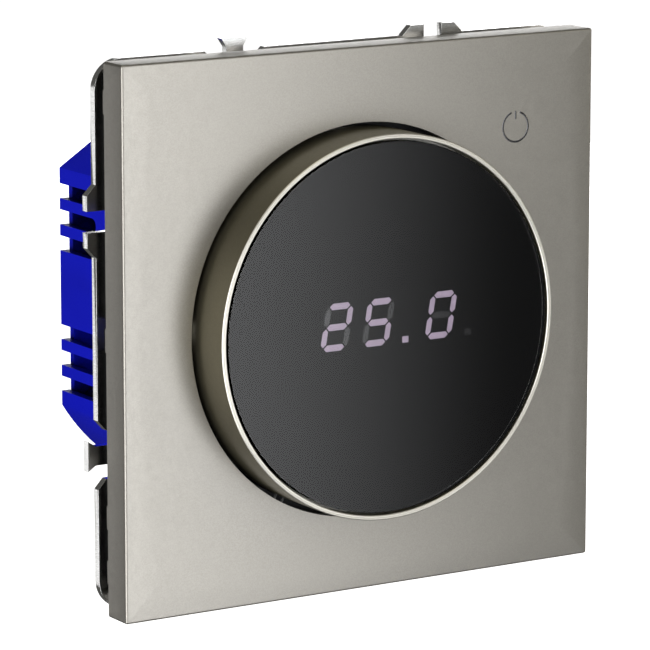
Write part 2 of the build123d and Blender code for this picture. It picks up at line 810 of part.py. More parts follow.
# ---- power board ----------------------------------------------------------------------------
def on_board(size, x, z):
    """A component of X, Z and Y size on the power board's rear face."""
    width, height, depth = size
    body = block(x - width / 2, x + width / 2, power_board_rear, power_board_rear + depth,
                 z - height / 2, z + height / 2)
    return fillet(body.edges().filter_by(Axis.Y), case_edge)


def make_power_board():
    view = housing_view(-housing_wall - power_board_gap)
    for x, z in posts:
        view -= Pos(x, z) * Circle(board_screw_radius + through_fit)
    return slab(view, power_board_front, power_board_rear)


def make_relay():
    return on_board(relay_size, *relay_place)


def make_transformer():
    return on_board(transformer_size, *transformer_place)


def make_film_capacitor():
    return on_board(film_capacitor_size, *film_capacitor_place)


def make_rectifier():
    return on_board(rectifier_size, *rectifier_place)


def make_capacitor():
    can = rod(*capacitor_place, capacitor_radius, power_board_rear, power_board_rear + capacitor_length)
    return fillet(can.faces().sort_by(Axis.Y)[-1].edges(), case_edge)


def make_fuse():
    can = rod(*fuse_place, fuse_radius, power_board_rear, power_board_rear + fuse_length)
    return fillet(can.faces().sort_by(Axis.Y)[-1].edges(), fuse_edge)


def make_varistor():
    x, z = varistor_place
    middle = power_board_rear + varistor_lift + varistor_radius
    disc = Plane(origin=(x, middle, z), z_dir=(1, 0, 0)) * Cylinder(varistor_radius, varistor_thickness)
    disc = fillet(disc.edges(), varistor_edge)
    half, leg_rear = varistor_leg / 2, middle - varistor_radius / 2
    for leg in (z - varistor_leg_spacing / 2, z + varistor_leg_spacing / 2):
        disc += block(x - half, x + half, power_board_rear, leg_rear, leg - half, leg + half)
    return disc


# ---- terminals ------------------------------------------------------------------------------
def make_terminal_block():
    top = block_bottom + block_height
    body = block(-block_width / 2, block_width / 2, power_board_rear, block_rear, block_bottom, top)
    for x in pole_places:
        half, tall = pole_width / 2, cage_height / 2 + cage_fit
        body -= block(x - half, x + half, cage_front - cage_end_gap, shelf_front,
                      cage_z - tall, cage_z + tall)
        body -= rod(x, cage_z, screw_radius + screw_fit, shelf_front, shelf_rear)
        body -= rod(x, cage_z, screw_head_radius + head_bore_fit, shelf_rear, block_rear)
        body -= Pos(x, wire_y, block_bottom) * Cylinder(wire_radius + wire_mouth_fit, 4 * chamber_floor)
        body -= make_busbar(x)
    return body


def make_busbar(x):
    """Bar through the cage, bent down to the power board."""
    half = cage_width / 2 - cage_side - busbar_fit
    top = block_bottom + block_height - busbar_cover
    bottom = cage_z - cage_height / 2 + busbar_foot
    bar = block(x - half, x + half, busbar_front, busbar_rear, bottom, top)
    return bar + block(x - half, x + half, power_board_rear, busbar_rear, top - busbar_thickness, top)


def make_clamp_cage(x):
    """Rising cage: the screw lifts it and it presses the wire against the busbar."""
    half, tall = cage_width / 2, cage_height / 2
    body = block(x - half, x + half, cage_front, cage_rear, cage_z - tall, cage_z + tall)
    body -= block(x - half + cage_side, x + half - cage_side, cage_floor, nut_front,
                  cage_z - tall, cage_z + tall)
    return body - rod(x, cage_z, screw_radius + screw_fit, cage_floor, cage_rear)


def make_terminal_screw(x):
    shank = rod(x, cage_z, screw_radius, busbar_rear + busbar_screw_gap, head_front)
    head = rod(x, cage_z, screw_head_radius, head_front, head_rear)
    head = fillet(head.faces().sort_by(Axis.Y)[-1].edges(), screw_head_edge)
    half = screw_slot_width / 2
    head -= block(x - half, x + half, head_rear - screw_slot_depth, head_rear,
                  cage_z - screw_head_radius, cage_z + screw_head_radius)
    return shank + head


# ---- fasteners ------------------------------------------------------------------------------
def pan_screw(x, z, radius, seat, tip, head_radius):
    """Screw with its head ahead of the seat and its tip behind it."""
    top = seat - pan_head_height
    head = rod(x, z, head_radius, top, seat)
    head = fillet(head.faces().sort_by(Axis.Y)[0].edges(), pan_head_edge)
    head -= block(x - head_radius, x + head_radius, top, top + small_slot_depth,
                  z - small_slot_width / 2, z + small_slot_width / 2)
    return head + rod(x, z, radius, seat, tip)


def make_base_screws():
    return [pan_screw(x, z, base_screw_radius, floor_front, 0.0, base_head_radius) for x, z in base_screws_at]


def make_board_screws():
    tip = power_board_rear + board_screw_length
    return [pan_screw(x, z, board_screw_radius, power_board_front, tip, board_head_radius) for x, z in posts]


def make_hub_screws():
    screws = []
    for angle in leg_angles:
        x, z = polar(leg_circle, angle)
        head = rod(x, z, hub_head_radius, flange_front, flange_front + hub_head_height)
        screws.append(head + rod(x, z, board_screw_radius, floor_front - hub_screw_length, flange_front))
    return screws


def make_rear_screws():
    screws = []
    for x, z in posts:
        foot = rear_cover_front + rear_head_gap
        head = cone(x, z, rear_head_end, rear_head_radius, foot, housing_depth)
        head -= block(x - rear_head_radius, x + rear_head_radius, housing_depth - rear_slot_cut,
                      housing_depth, z - small_slot_width / 2, z + small_slot_width / 2)
        shank = rod(x, z, board_screw_radius - rear_thread_fit, rear_cover_front - board_screw_length, foot)
        screws.append(head + shank)
    return screws


# ---- write every node -----------------------------------------------------------------------
os.makedirs("parts", exist_ok=True)
save("support_frame", make_support_frame())
save("cover_plate", make_cover_plate())
save("power_icon", make_power_icon())
save("dial_ring", make_dial_ring())
save("dial_gear", make_dial_gear())
save("slide_ring", make_slide_ring())
save("encoder_pinion", make_encoder_pinion())
save("encoder", make_encoder())
save("display_lens", make_display_lens())
save("display_mask", make_display_mask())
save("display_module", make_display_module())
save("lit_segments", make_segments(True))
save("dark_segments", make_segments(False))
save("display_pins", make_display_pins())
save("display_hub", make_display_hub())
save("front_base", make_front_base())
save("front_board", make_front_board())
save("touch_board", make_touch_board())
save("touch_spring", make_touch_spring())
save("touch_ribbon", make_touch_ribbon())
save("temperature_sensor", make_temperature_sensor())
save("sensor_leads", make_sensor_leads())
save("board_socket", make_board_socket())
save("header_strip", make_header_strip())
save("header_pins", make_header_pins())
save("housing", make_housing())
save("rear_cover", make_rear_cover())
save("power_board", make_power_board())
save("relay", make_relay())
save("transformer", make_transformer())
save("film_capacitor", make_film_capacitor())
save("rectifier", make_rectifier())
save("capacitor", make_capacitor())
save("fuse", make_fuse())
save("varistor", make_varistor())
save("terminal_block", make_terminal_block())
save("busbars", [make_busbar(x) for x in pole_places])
for number, place in enumerate(pole_places, start=1):
    save(f"clamp_cage_{number}", make_clamp_cage(place))
    save(f"terminal_screw_{number}", make_terminal_screw(place))
save("base_screws", make_base_screws())
save("board_screws", make_board_screws())
save("hub_screws", make_hub_screws())
save("rear_screws", make_rear_screws())
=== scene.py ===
"""Looks of a flush-mounted wall thermostat with a turning dial.

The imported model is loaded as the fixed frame. Surfaces that are seen closely are worked out
again here as smooth grids of points, the other moulded and stamped pieces get softened edges,
and every piece gets a finish made of shader nodes. Lengths are metres, +Z is up and the room
is on the -Y side of the wall.
"""

import json
import logging
import math
from dataclasses import dataclass, field
from enum import Enum
from typing import Any, Sequence

import bmesh
import bpy
import numpy as np
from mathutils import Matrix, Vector
from numpy.typing import NDArray

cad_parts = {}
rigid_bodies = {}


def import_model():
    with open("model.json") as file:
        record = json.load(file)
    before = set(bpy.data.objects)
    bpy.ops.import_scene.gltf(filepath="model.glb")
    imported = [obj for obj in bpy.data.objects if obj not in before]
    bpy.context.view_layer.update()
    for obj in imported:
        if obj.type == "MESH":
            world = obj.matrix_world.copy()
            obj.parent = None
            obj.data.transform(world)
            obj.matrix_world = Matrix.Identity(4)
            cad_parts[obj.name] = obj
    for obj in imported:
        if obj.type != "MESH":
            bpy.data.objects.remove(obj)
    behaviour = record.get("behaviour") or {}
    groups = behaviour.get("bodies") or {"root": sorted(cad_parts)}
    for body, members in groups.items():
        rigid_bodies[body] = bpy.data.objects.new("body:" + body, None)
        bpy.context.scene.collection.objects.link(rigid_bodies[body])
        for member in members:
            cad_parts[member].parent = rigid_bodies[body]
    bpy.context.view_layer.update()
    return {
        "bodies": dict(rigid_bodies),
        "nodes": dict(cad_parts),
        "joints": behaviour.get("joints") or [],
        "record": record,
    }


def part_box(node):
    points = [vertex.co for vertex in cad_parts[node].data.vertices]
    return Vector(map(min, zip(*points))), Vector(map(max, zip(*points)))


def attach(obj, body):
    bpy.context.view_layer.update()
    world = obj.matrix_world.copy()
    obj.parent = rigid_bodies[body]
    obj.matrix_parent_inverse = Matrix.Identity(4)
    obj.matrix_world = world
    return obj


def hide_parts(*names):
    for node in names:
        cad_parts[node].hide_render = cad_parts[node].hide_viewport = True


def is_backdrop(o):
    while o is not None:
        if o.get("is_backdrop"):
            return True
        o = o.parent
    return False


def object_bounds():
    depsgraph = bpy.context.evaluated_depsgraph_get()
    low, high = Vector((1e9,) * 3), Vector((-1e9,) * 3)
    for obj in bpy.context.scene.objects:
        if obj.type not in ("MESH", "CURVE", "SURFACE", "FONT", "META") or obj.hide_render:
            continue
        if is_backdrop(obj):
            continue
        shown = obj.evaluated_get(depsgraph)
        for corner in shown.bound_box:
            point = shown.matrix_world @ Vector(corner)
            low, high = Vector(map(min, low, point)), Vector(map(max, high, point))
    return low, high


Array = NDArray[np.float64]
Colour = tuple[float, float, float]
MM = 0.001
TURN = 2 * math.pi
log = logging.getLogger("thermostat")


# ---- curves and profiles --------------------------------------------------------------------
def rounded_loop(corners: Sequence[tuple[float, float, float]], steps: int = 6) -> Array:
    """Round the corners of a closed outline.

    Each corner is replaced by a circular arc: the two unit vectors from the arc's centre to
    its ends are blended by sines of the part turned (a slerp) and scaled by the radius.

    Args:
        corners: one (first, second, radius) for each corner, in order.
        steps: points on each arc.

    Returns:
        The closed loop as an array of shape (corners * steps, 2).
    """
    table = np.asarray(corners, float)
    place, radius = table[:, :2], table[:, 2:3]
    back = np.roll(place, 1, axis=0) - place
    ahead = np.roll(place, -1, axis=0) - place
    back /= np.linalg.norm(back, axis=1, keepdims=True)
    ahead /= np.linalg.norm(ahead, axis=1, keepdims=True)
    between = np.arccos(np.clip((back * ahead).sum(1, keepdims=True), -1, 1))
    bisector = back + ahead
    bisector /= np.maximum(np.linalg.norm(bisector, axis=1, keepdims=True), 1e-9)
    centre = place + bisector * radius / np.maximum(np.sin(between / 2), 1e-6)
    reach = radius / np.maximum(np.tan(between / 2), 1e-6)
    start, end = place + back * reach - centre, place + ahead * reach - centre
    swept = (math.pi - between)[:, None, :]
    part = np.linspace(0, 1, steps)[None, :, None]
    sine = np.maximum(np.sin(swept), 1e-6)
    arc = (np.sin((1 - part) * swept) * start[:, None, :] + np.sin(part * swept) * end[:, None, :]) / sine
    return (centre[:, None, :] + arc).reshape(-1, 2)


def rounded_square(half: float, corner: float, side_steps: int = 24, corner_steps: int = 6) -> Array:
    """Outline of a square with rounded corners and points spread along its sides.

    A side runs from the end of one corner's arc to the start of the next; the four quarters
    are the first one turned by quarter turns.

    Args:
        half: half of the square's side.
        corner: radius of its corners.
        side_steps: points along each straight side.
        corner_steps: points on each corner's arc.

    Returns:
        Points of shape (4 * (side_steps + corner_steps), 2), anticlockwise from the right side.
    """
    along = np.linspace(-(half - corner), half - corner, side_steps, endpoint=False)
    side = np.stack([np.full_like(along, half), along], 1)
    angle = np.linspace(0, math.pi / 2, corner_steps, endpoint=False)
    bend = half - corner + corner * np.stack([np.cos(angle), np.sin(angle)], 1)
    quarter = np.concatenate([side, bend])
    turned = [quarter]
    for _ in range(3):
        last = turned[-1]
        turned.append(np.stack([-last[:, 1], last[:, 0]], 1))
    return np.concatenate(turned)


def inset(loop: Array, distance: float) -> Array:
    """Move a convex anticlockwise loop inwards by a distance along its point normals.

    The normal at a point is the right-hand perpendicular of the chord between its two
    neighbours.

    Args:
        loop: closed outline, shape (n, 2).
        distance: how far to move it.

    Returns:
        The moved loop.
    """
    chord = np.roll(loop, -1, axis=0) - np.roll(loop, 1, axis=0)
    chord /= np.maximum(np.linalg.norm(chord, axis=1, keepdims=True), 1e-12)
    outward = np.stack([chord[:, 1], -chord[:, 0]], 1)
    return loop - outward * distance


def quarter_round(radius: float, steps: int = 5) -> Array:
    """Rounding of an edge as (inset, drop) pairs, from the flat face round to the side."""
    angle = np.linspace(0, math.pi / 2, steps)
    return np.stack([radius * (1 - np.sin(angle)), radius * (1 - np.cos(angle))], 1)


# ---- surfaces -------------------------------------------------------------------------------
@dataclass
class Shell:
    """Gathers closed surfaces given as point grids and makes them one mesh object."""

    points: list[Array] = field(default_factory=list)
    faces: list[NDArray[np.int64]] = field(default_factory=list)
    count: int = 0

    def add(self, grid: Array, wrap_rows: bool = True, wrap_columns: bool = False) -> "Shell":
        """Add a surface whose point is a function of two parameters.

        A face joins each point with its next neighbours in both directions. The signed
        volume under the faces tells whether they point inwards, and then they are turned.

        Args:
            grid: points of shape (rows, columns, 3).
            wrap_rows: join the last row to the first.
            wrap_columns: join the last column to the first.

        Returns:
            This shell, so that calls can be chained.
        """
        rows, columns = grid.shape[:2]
        index = np.arange(rows * columns).reshape(rows, columns)
        down = np.roll(index, -1, axis=0)
        if not wrap_rows:
            index, down = index[:-1], down[:-1]
        right, across = np.roll(index, -1, axis=1), np.roll(down, -1, axis=1)
        keep = slice(None) if wrap_columns else slice(0, columns - 1)
        quads = np.stack([a[:, keep] for a in (index, down, across, right)], -1).reshape(-1, 4)
        flat = grid.reshape(-1, 3)
        corner = flat[quads]
        volume = np.einsum("ij,ij->i", corner[:, 0], np.cross(corner[:, 1], corner[:, 2])).sum()
        volume += np.einsum("ij,ij->i", corner[:, 0], np.cross(corner[:, 2], corner[:, 3])).sum()
        self.points.append(flat)
        self.faces.append((quads if volume > 0 else quads[:, ::-1]) + self.count)
        self.count += len(flat)
        return self

    def build(self, name: str, crease: float = 30.0) -> bpy.types.Object:
        """Make the mesh, close its seams and poles, and shade it smooth up to a crease angle.

        Args:
            name: the piece's name.
            crease: edges sharper than this many degrees stay sharp.

        Returns:
            The new object, at the origin.
        """
        mesh = bpy.data.meshes.new(name)
        mesh.from_pydata(np.concatenate(self.points).tolist(), [], np.concatenate(self.faces).tolist())
        work = bmesh.new()
        work.from_mesh(mesh)
        bmesh.ops.remove_doubles(work, verts=work.verts, dist=1e-7)
        work.to_mesh(mesh)
        work.free()
        return add_object(name, mesh, crease)


def add_object(name: str, mesh: bpy.types.Mesh, crease: float = 30.0) -> bpy.types.Object:
    """Put a mesh into the scene with smooth shading between sharp edges.

    Args:
        name: the piece's name.
        mesh: its mesh, in place.
        crease: edges sharper than this many degrees stay sharp.

    Returns:
        The new object, at the origin.
    """
    mesh.polygons.foreach_set("use_smooth", np.ones(len(mesh.polygons), bool))
    mesh.set_sharp_from_angle(angle=math.radians(crease))
    piece = bpy.data.objects.new(name, mesh)
    bpy.context.scene.collection.objects.link(piece)
    return piece


def lathe(profile: Array, steps: int, x: float = 0.0, z: float = 0.0) -> Array:
    """Turn a profile round an axis parallel to Y.

    A point is (x + r cos a, y, z + r sin a) for the angle a and the profile's (r, y).

    Args:
        profile: (radius, y) pairs.
        steps: angles round the axis.
        x: the axis' place along X.
        z: the axis' height.

    Returns:
        Grid of shape (steps, len(profile), 3).
    """
    angle = np.linspace(0, TURN, steps, endpoint=False)[:, None]
    radius, y = profile[:, 0][None, :], profile[:, 1][None, :]
    return np.stack([x + radius * np.cos(angle), y + 0 * angle, z + radius * np.sin(angle)], -1)


def slab(loop: Array, front: float, rear: float, edge: float) -> Array:
    """A convex plate with rounded front edges.

    Loops of the outline are stacked along Y, inset by the edge's quarter circle, and both
    ends close in the outline's middle.

    Args:
        loop: anticlockwise outline in X and Z, shape (n, 2).
        front: Y of the front face.
        rear: Y of the rear face.
        edge: radius of the rounded edge in front; a quarter of it is used behind.

    Returns:
        Grid of shape (n, layers, 3).
    """
    sign = 1.0 if rear > front else -1.0
    middle = np.repeat(loop.mean(0)[None], len(loop), axis=0)
    layers = [(middle, front)]
    layers += [(inset(loop, gap), front + sign * drop) for gap, drop in quarter_round(edge)]
    layers += [(inset(loop, gap), rear - sign * drop) for gap, drop in quarter_round(edge / 4)[::-1]]
    layers += [(middle, rear)]
    stack = [np.stack([flat[:, 0], np.full(len(flat), y), flat[:, 1]], 1) for flat, y in layers]
    return np.stack(stack, 1)


def tube(path: Array, radius: Array) -> Array:
    """A round section carried along a path.

    The section's frame at a point is the path's direction, the horizontal perpendicular of
    it and their cross product; the section is cos and sin of its angle times the radius.

    Args:
        path: points of shape (n, 3).
        radius: section radius at each point, shape (n,).

    Returns:
        Grid of shape (12, n, 3).
    """
    ahead = np.gradient(path, axis=0)
    ahead /= np.linalg.norm(ahead, axis=1, keepdims=True)
    side = np.cross(ahead, [0.0, 1.0, 0.0])
    side /= np.maximum(np.linalg.norm(side, axis=1, keepdims=True), 1e-9)
    rise = np.cross(side, ahead)
    angle = np.linspace(0, TURN, 12, endpoint=False)[:, None, None]
    return path[None] + radius[None, :, None] * (np.cos(angle) * side[None] + np.sin(angle) * rise[None])


def merged(node: bpy.types.Object, name: str) -> bpy.types.Mesh:
    """Copy a CAD node's mesh, close its seams and join the triangles of its flat faces.

    Args:
        node: the CAD object.
        name: the copy's name.

    Returns:
        The new mesh.
    """
    mesh = node.data.copy()
    mesh.name = name
    work = bmesh.new()
    work.from_mesh(mesh)
    bmesh.ops.remove_doubles(work, verts=work.verts, dist=1e-6)
    bmesh.ops.dissolve_limit(work, angle_limit=math.radians(1.0), verts=work.verts, edges=work.edges)
    work.to_mesh(mesh)
    work.free()
    return mesh


def islands(mesh: bpy.types.Mesh) -> list[Array]:
    """Points of each separate solid in a merged mesh.

    Every point starts with its own number; along each edge both ends take the smaller number,
    until nothing changes.

    Args:
        mesh: mesh without double points.

    Returns:
        One array of shape (n, 3) for each solid.
    """
    flat = np.zeros(len(mesh.vertices) * 3)
    mesh.vertices.foreach_get("co", flat)
    ends = np.zeros(len(mesh.edges) * 2, np.int64)
    mesh.edges.foreach_get("vertices", ends)
    first, second = ends.reshape(-1, 2).T
    label = np.arange(len(mesh.vertices))
    settled = False
    while not settled:
        before = label.copy()
        np.minimum.at(label, first, label[second])
        np.minimum.at(label, second, label[first])
        settled = bool((before == label).all())
    points = flat.reshape(-1, 3)
    return [points[label == number] for number in np.unique(label)]


def softened(node: bpy.types.Object, name: str, width: float, keep: float = 35.0) -> bpy.types.Object:
    """Copy a CAD node and round its edges a little, as a mould or a press leaves them.

    Args:
        node: the CAD object that the copy stands for.
        name: the new piece's name.
        width: width of the rounding.
        keep: only edges sharper than this many degrees are rounded.

    Returns:
        The new object with a live bevel.
    """
    mesh = merged(node, name)
    piece = add_object(name, mesh, keep)
    bevel = piece.modifiers.new("rounding", "BEVEL")
    bevel.width, bevel.segments, bevel.limit_method = width, 2, "ANGLE"
    bevel.angle_limit = math.radians(keep)
    bevel.harden_normals = True
    bevel.use_clamp_overlap = True
    return piece


# ---- shader nodes ---------------------------------------------------------------------------
class Shader:
    """Short-hand for building one material's node tree."""

    def __init__(self, name: str) -> None:
        """Start a material with a principled surface."""
        self.material = bpy.data.materials.new(name)
        self.material.use_nodes = True
        self.tree = self.material.node_tree
        self.surface = self.tree.nodes["Principled BSDF"]

    def set(self, **values: Any) -> None:
        """Set constant values on the surface's own sockets; underscores stand for spaces."""
        for key, value in values.items():
            socket = self.surface.inputs[key.replace("_", " ")]
            socket.default_value = (*value, 1.0) if isinstance(value, tuple) else value

    def join(self, source: Any, target: str) -> None:
        """Link a socket to one of the surface's inputs."""
        self.tree.links.new(source, self.surface.inputs[target])

    def node(self, kind: str, links: dict[int, Any] | None = None, **values: Any) -> Any:
        """Add a node.

        Args:
            kind: node type without its common prefix.
            links: sockets to link, by input number.
            values: node properties.

        Returns:
            The node.
        """
        node = self.tree.nodes.new("ShaderNode" + kind)
        for key, value in values.items():
            setattr(node, key, value)
        for number, source in (links or {}).items():
            if isinstance(source, (int, float, tuple)):
                node.inputs[number].default_value = source
            else:
                self.tree.links.new(source, node.inputs[number])
        return node

    def place(self, stretch: Colour = (1.0, 1.0, 1.0)) -> Any:
        """Object coordinates, scaled along each axis."""
        source = self.node("TexCoord").outputs["Object"]
        return self.node("Mapping", {0: source, 3: stretch}).outputs[0]

    def noise(self, size: float, detail: float = 2.0, stretch: Colour = (1.0, 1.0, 1.0)) -> Any:
        """Noise between 0 and 1 whose grains measure about size metres."""
        node = self.node("TexNoise", {0: self.place(stretch)})
        node.inputs["Scale"].default_value = 1.0 / size
        node.inputs["Detail"].default_value = detail
        return node.outputs["Fac"]

    def cells(self, size: float, stretch: Colour = (1.0, 1.0, 1.0)) -> Any:
        """Random grey value for each cell of about size metres."""
        node = self.node("TexVoronoi", {0: self.place(stretch)})
        node.inputs["Scale"].default_value = 1.0 / size
        return self.node("SeparateColor", {0: node.outputs["Color"]}).outputs[0]

    def remap(self, value: Any, low: float, high: float, start: float = 0.3, end: float = 0.7) -> Any:
        """Map the middle of a pattern's range onto low..high."""
        return self.node("MapRange", {0: value, 1: start, 2: end, 3: low, 4: high}).outputs[0]

    def mix(self, factor: Any, first: Any, second: Any) -> Any:
        """Blend two colours.

        Args:
            factor: share of the second, as a number or a socket.
            first: a colour or a socket.
            second: a colour or a socket.

        Returns:
            The blended colour's socket.
        """
        node = self.node("Mix", data_type="RGBA")
        for number, source in ((0, factor), (6, first), (7, second)):
            if isinstance(source, tuple):
                node.inputs[number].default_value = (*source, 1.0)
            elif isinstance(source, float):
                node.inputs[number].default_value = source
            else:
                self.tree.links.new(source, node.inputs[number])
        return node.outputs[2]

    def relief(self, height: Any, depth: float, strength: float = 1.0, under: Any = None) -> Any:
        """Bump over an optional earlier bump.

        Args:
            height: socket of the pattern.
            depth: height of the pattern in metres.
            strength: share of the bump that is used.
            under: normal socket of an earlier bump.

        Returns:
            The normal's socket.
        """
        node = self.node("Bump")
        node.inputs["Strength"].default_value = strength
        node.inputs["Distance"].default_value = depth
        self.tree.links.new(height, node.inputs["Height"])
        if under is not None:
            self.tree.links.new(under, node.inputs["Normal"])
        return node.outputs[0]


def shade(colour: Colour, factor: float) -> Colour:
    """A lighter or darker copy of a colour."""
    return tuple(min(1.0, channel * factor) for channel in colour)


# ---- finishes -------------------------------------------------------------------------------
@dataclass(frozen=True)
class Lacquer:
    """Metallic lacquer: pigment flakes under a satin clear layer."""

    name: str
    colour: Colour
    roughness: float = 0.38
    flake: float = 0.00011
    depth: float = 0.0000035
    metal: float = 0.85
    # Colour painted on the dial's front face as a highlight; None leaves the face plain.
    rim: Colour | None = None

    def make(self) -> bpy.types.Material:
        """Build the material.

        Returns:
            The finished material.
        """
        shader = Shader(self.name)
        shader.set(Metallic=self.metal, Coat_Weight=0.12, Coat_Roughness=0.28)
        flakes = shader.cells(self.flake)
        cloud = shader.noise(0.012, 3.0)
        tone = shader.mix(shader.remap(flakes, 0.0, 1.0, 0.0, 1.0),
                          shade(self.colour, 0.93), shade(self.colour, 1.07))
        tone = shader.mix(shader.remap(cloud, 0.0, 0.35), tone, self.colour)
        # Painted highlight: the front face, up to 0.10-0.16 mm behind the front, takes the lighter rim
        # colour as if lit.
        if self.rim is not None:
            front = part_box("dial_ring")[0].y
            depth = shader.node("SeparateXYZ", {0: shader.place()}).outputs[1]
            back = shader.remap(depth, 0.0, 1.0, front + 0.10 * MM, front + 0.16 * MM)
            tone = shader.mix(back, self.rim, tone)
        shader.join(tone, "Base Color")
        shader.join(shader.remap(shader.noise(0.0006), self.roughness - 0.03, self.roughness + 0.03),
                    "Roughness")
        shader.join(shader.relief(shader.noise(self.flake * 2.2, 3.0), self.depth), "Normal")
        return shader.material


@dataclass(frozen=True)
class Plated:
    """Plated or bare metal with spangle, fine scratches and a rolling direction."""

    name: str
    colour: Colour
    roughness: float = 0.28
    spangle: float = 0.0016
    stretch: Colour = (1.0, 1.0, 12.0)
    contrast: float = 0.10
    depth: float = 0.000004

    def make(self) -> bpy.types.Material:
        """Build the material.

        Returns:
            The finished material.
        """
        shader = Shader(self.name)
        shader.set(Metallic=1.0)
        grains = shader.cells(self.spangle)
        rolled = shader.noise(0.0009, 4.0, self.stretch)
        tone = shader.mix(shader.remap(grains, 0.0, 1.0, 0.0, 1.0),
                          shade(self.colour, 1 - self.contrast), shade(self.colour, 1 + self.contrast / 2))
        tone = shader.mix(shader.remap(rolled, 0.0, 0.5), tone, shade(self.colour, 0.85))
        shader.join(tone, "Base Color")
        shader.join(shader.remap(rolled, self.roughness - 0.07, self.roughness + 0.09), "Roughness")
        shader.join(shader.relief(rolled, self.depth), "Normal")
        return shader.material


@dataclass(frozen=True)
class Moulding:
    """Moulded plastic with a spark-eroded skin, slow flow marks and, when a reach is given, painted shade
    in its hollows.
    """

    name: str
    colour: Colour
    roughness: float = 0.45
    grain: float = 0.00022
    depth: float = 0.000006
    specular: float = 0.5
    sheen: float = 0.0
    # Reach of the painted shade in hollows; zero paints no shade.
    painted_shade_reach: float = 0.0

    def make(self) -> bpy.types.Material:
        """Build the material.

        Returns:
            The finished material.
        """
        shader = Shader(self.name)
        shader.set(Specular_IOR_Level=self.specular, Sheen_Weight=self.sheen)
        flow = shader.noise(0.009, 2.0, (1.0, 0.35, 1.0))
        skin = shader.noise(self.grain, 2.0)
        tone = shader.mix(shader.remap(flow, 0.0, 1.0), shade(self.colour, 0.90), shade(self.colour, 1.10))
        # Painted shade: an ambient-occlusion measure darkens the colour almost to black in hollows and
        # inside the piece, where shade falls.
        if self.painted_shade_reach:
            open_sky = shader.node("AmbientOcclusion", {1: self.painted_shade_reach}, samples=8).outputs["AO"]
            tone = shader.mix(shader.remap(open_sky, 0.0, 1.0, 0.40, 0.80), shade(self.colour, 0.02), tone)
        shader.join(tone, "Base Color")
        shader.join(shader.remap(skin, self.roughness - 0.05, self.roughness + 0.06), "Roughness")
        shader.join(shader.relief(skin, self.depth), "Normal")
        return shader.material


@dataclass(frozen=True)
class Film:
    """Film printed on its rear: deep black behind a polished face."""

    name: str
    colour: Colour
    ior: float = 1.49

    def make(self) -> bpy.types.Material:
        """Build the material.

        Returns:
            The finished material.
        """
        shader = Shader(self.name)
        shader.set(Roughness=0.0, IOR=self.ior)
        cloud = shader.remap(shader.noise(0.003, 2.0), 0.0, 1.0)
        shader.join(shader.mix(cloud, shade(self.colour, 0.8), shade(self.colour, 1.2)), "Base Color")
        return shader.material


@dataclass(frozen=True)
class ClearLens:
    """Clear plastic in optical contact with the film, with a faintly uneven tint.

    Its gloss is left to the film right behind it, because two polished faces in contact
    reflect as one.
    """

    name: str
    tint: Colour

    def make(self) -> bpy.types.Material:
        """Build the material.

        Returns:
            The finished material.
        """
        shader = Shader(self.name)
        shader.set(Transmission_Weight=1.0, IOR=1.49, Roughness=0.0, Specular_IOR_Level=0.0)
        cloud = shader.remap(shader.noise(0.004, 3.0), 0.0, 1.0)
        shader.join(shader.mix(cloud, shade(self.tint, 0.97), shade(self.tint, 1.03)), "Base Color")
        return shader.material


@dataclass(frozen=True)
class Glow:
    """Light guide that shines nearly evenly, with a faint random unevenness."""

    name: str
    colour: Colour
    strength: float

    def make(self) -> bpy.types.Material:
        """Build the material.

        Returns:
            The finished material.
        """
        shader = Shader(self.name)
        shader.set(Base_Color=shade(self.colour, 0.4), Roughness=0.4, Emission_Strength=self.strength)
        cloud = shader.noise(0.0009, 2.0)
        tone = shader.mix(shader.remap(cloud, 0.0, 1.0), shade(self.colour, 0.94), shade(self.colour, 1.04))
        shader.join(tone, "Emission Color")
        return shader.material


@dataclass(frozen=True)
class BoardLacquer:
    """Solder mask over copper: lighter where a track runs under it."""

    name: str
    colour: Colour
    track: Colour
    pitch: float = 0.0021

    def make(self) -> bpy.types.Material:
        """Build the material.

        Returns:
            The finished material.
        """
        shader = Shader(self.name)
        shader.set(Coat_Weight=0.4, Coat_Roughness=0.15)
        cells = shader.node("TexVoronoi", {0: shader.place((1.0, 0.01, 1.0))},
                            feature="F1", distance="CHEBYCHEV")
        cells.inputs["Scale"].default_value = 1.0 / self.pitch
        edge = shader.remap(cells.outputs["Distance"], 0.0, 1.0, 0.40, 0.44)
        shader.join(shader.mix(edge, self.colour, self.track), "Base Color")
        shader.join(shader.remap(edge, 0.42, 0.30, 0.0, 1.0), "Roughness")
        shader.join(shader.relief(edge, 0.00003), "Normal")
        return shader.material


class Champagne(Enum):
    """The cover's lacquer tone, and a lighter tone of the same lacquer painted on the dial's front face as
    a highlight.
    """

    COVER = (0.375, 0.358, 0.325)
    PAINTED_RIM_HIGHLIGHT = (0.66, 0.64, 0.58)


STEEL: Colour = (0.90, 0.90, 0.89)
ZINC: Colour = (0.70, 0.71, 0.70)
BLUE: Colour = (0.005, 0.010, 0.68)
BLACK: Colour = (0.010, 0.010, 0.011)

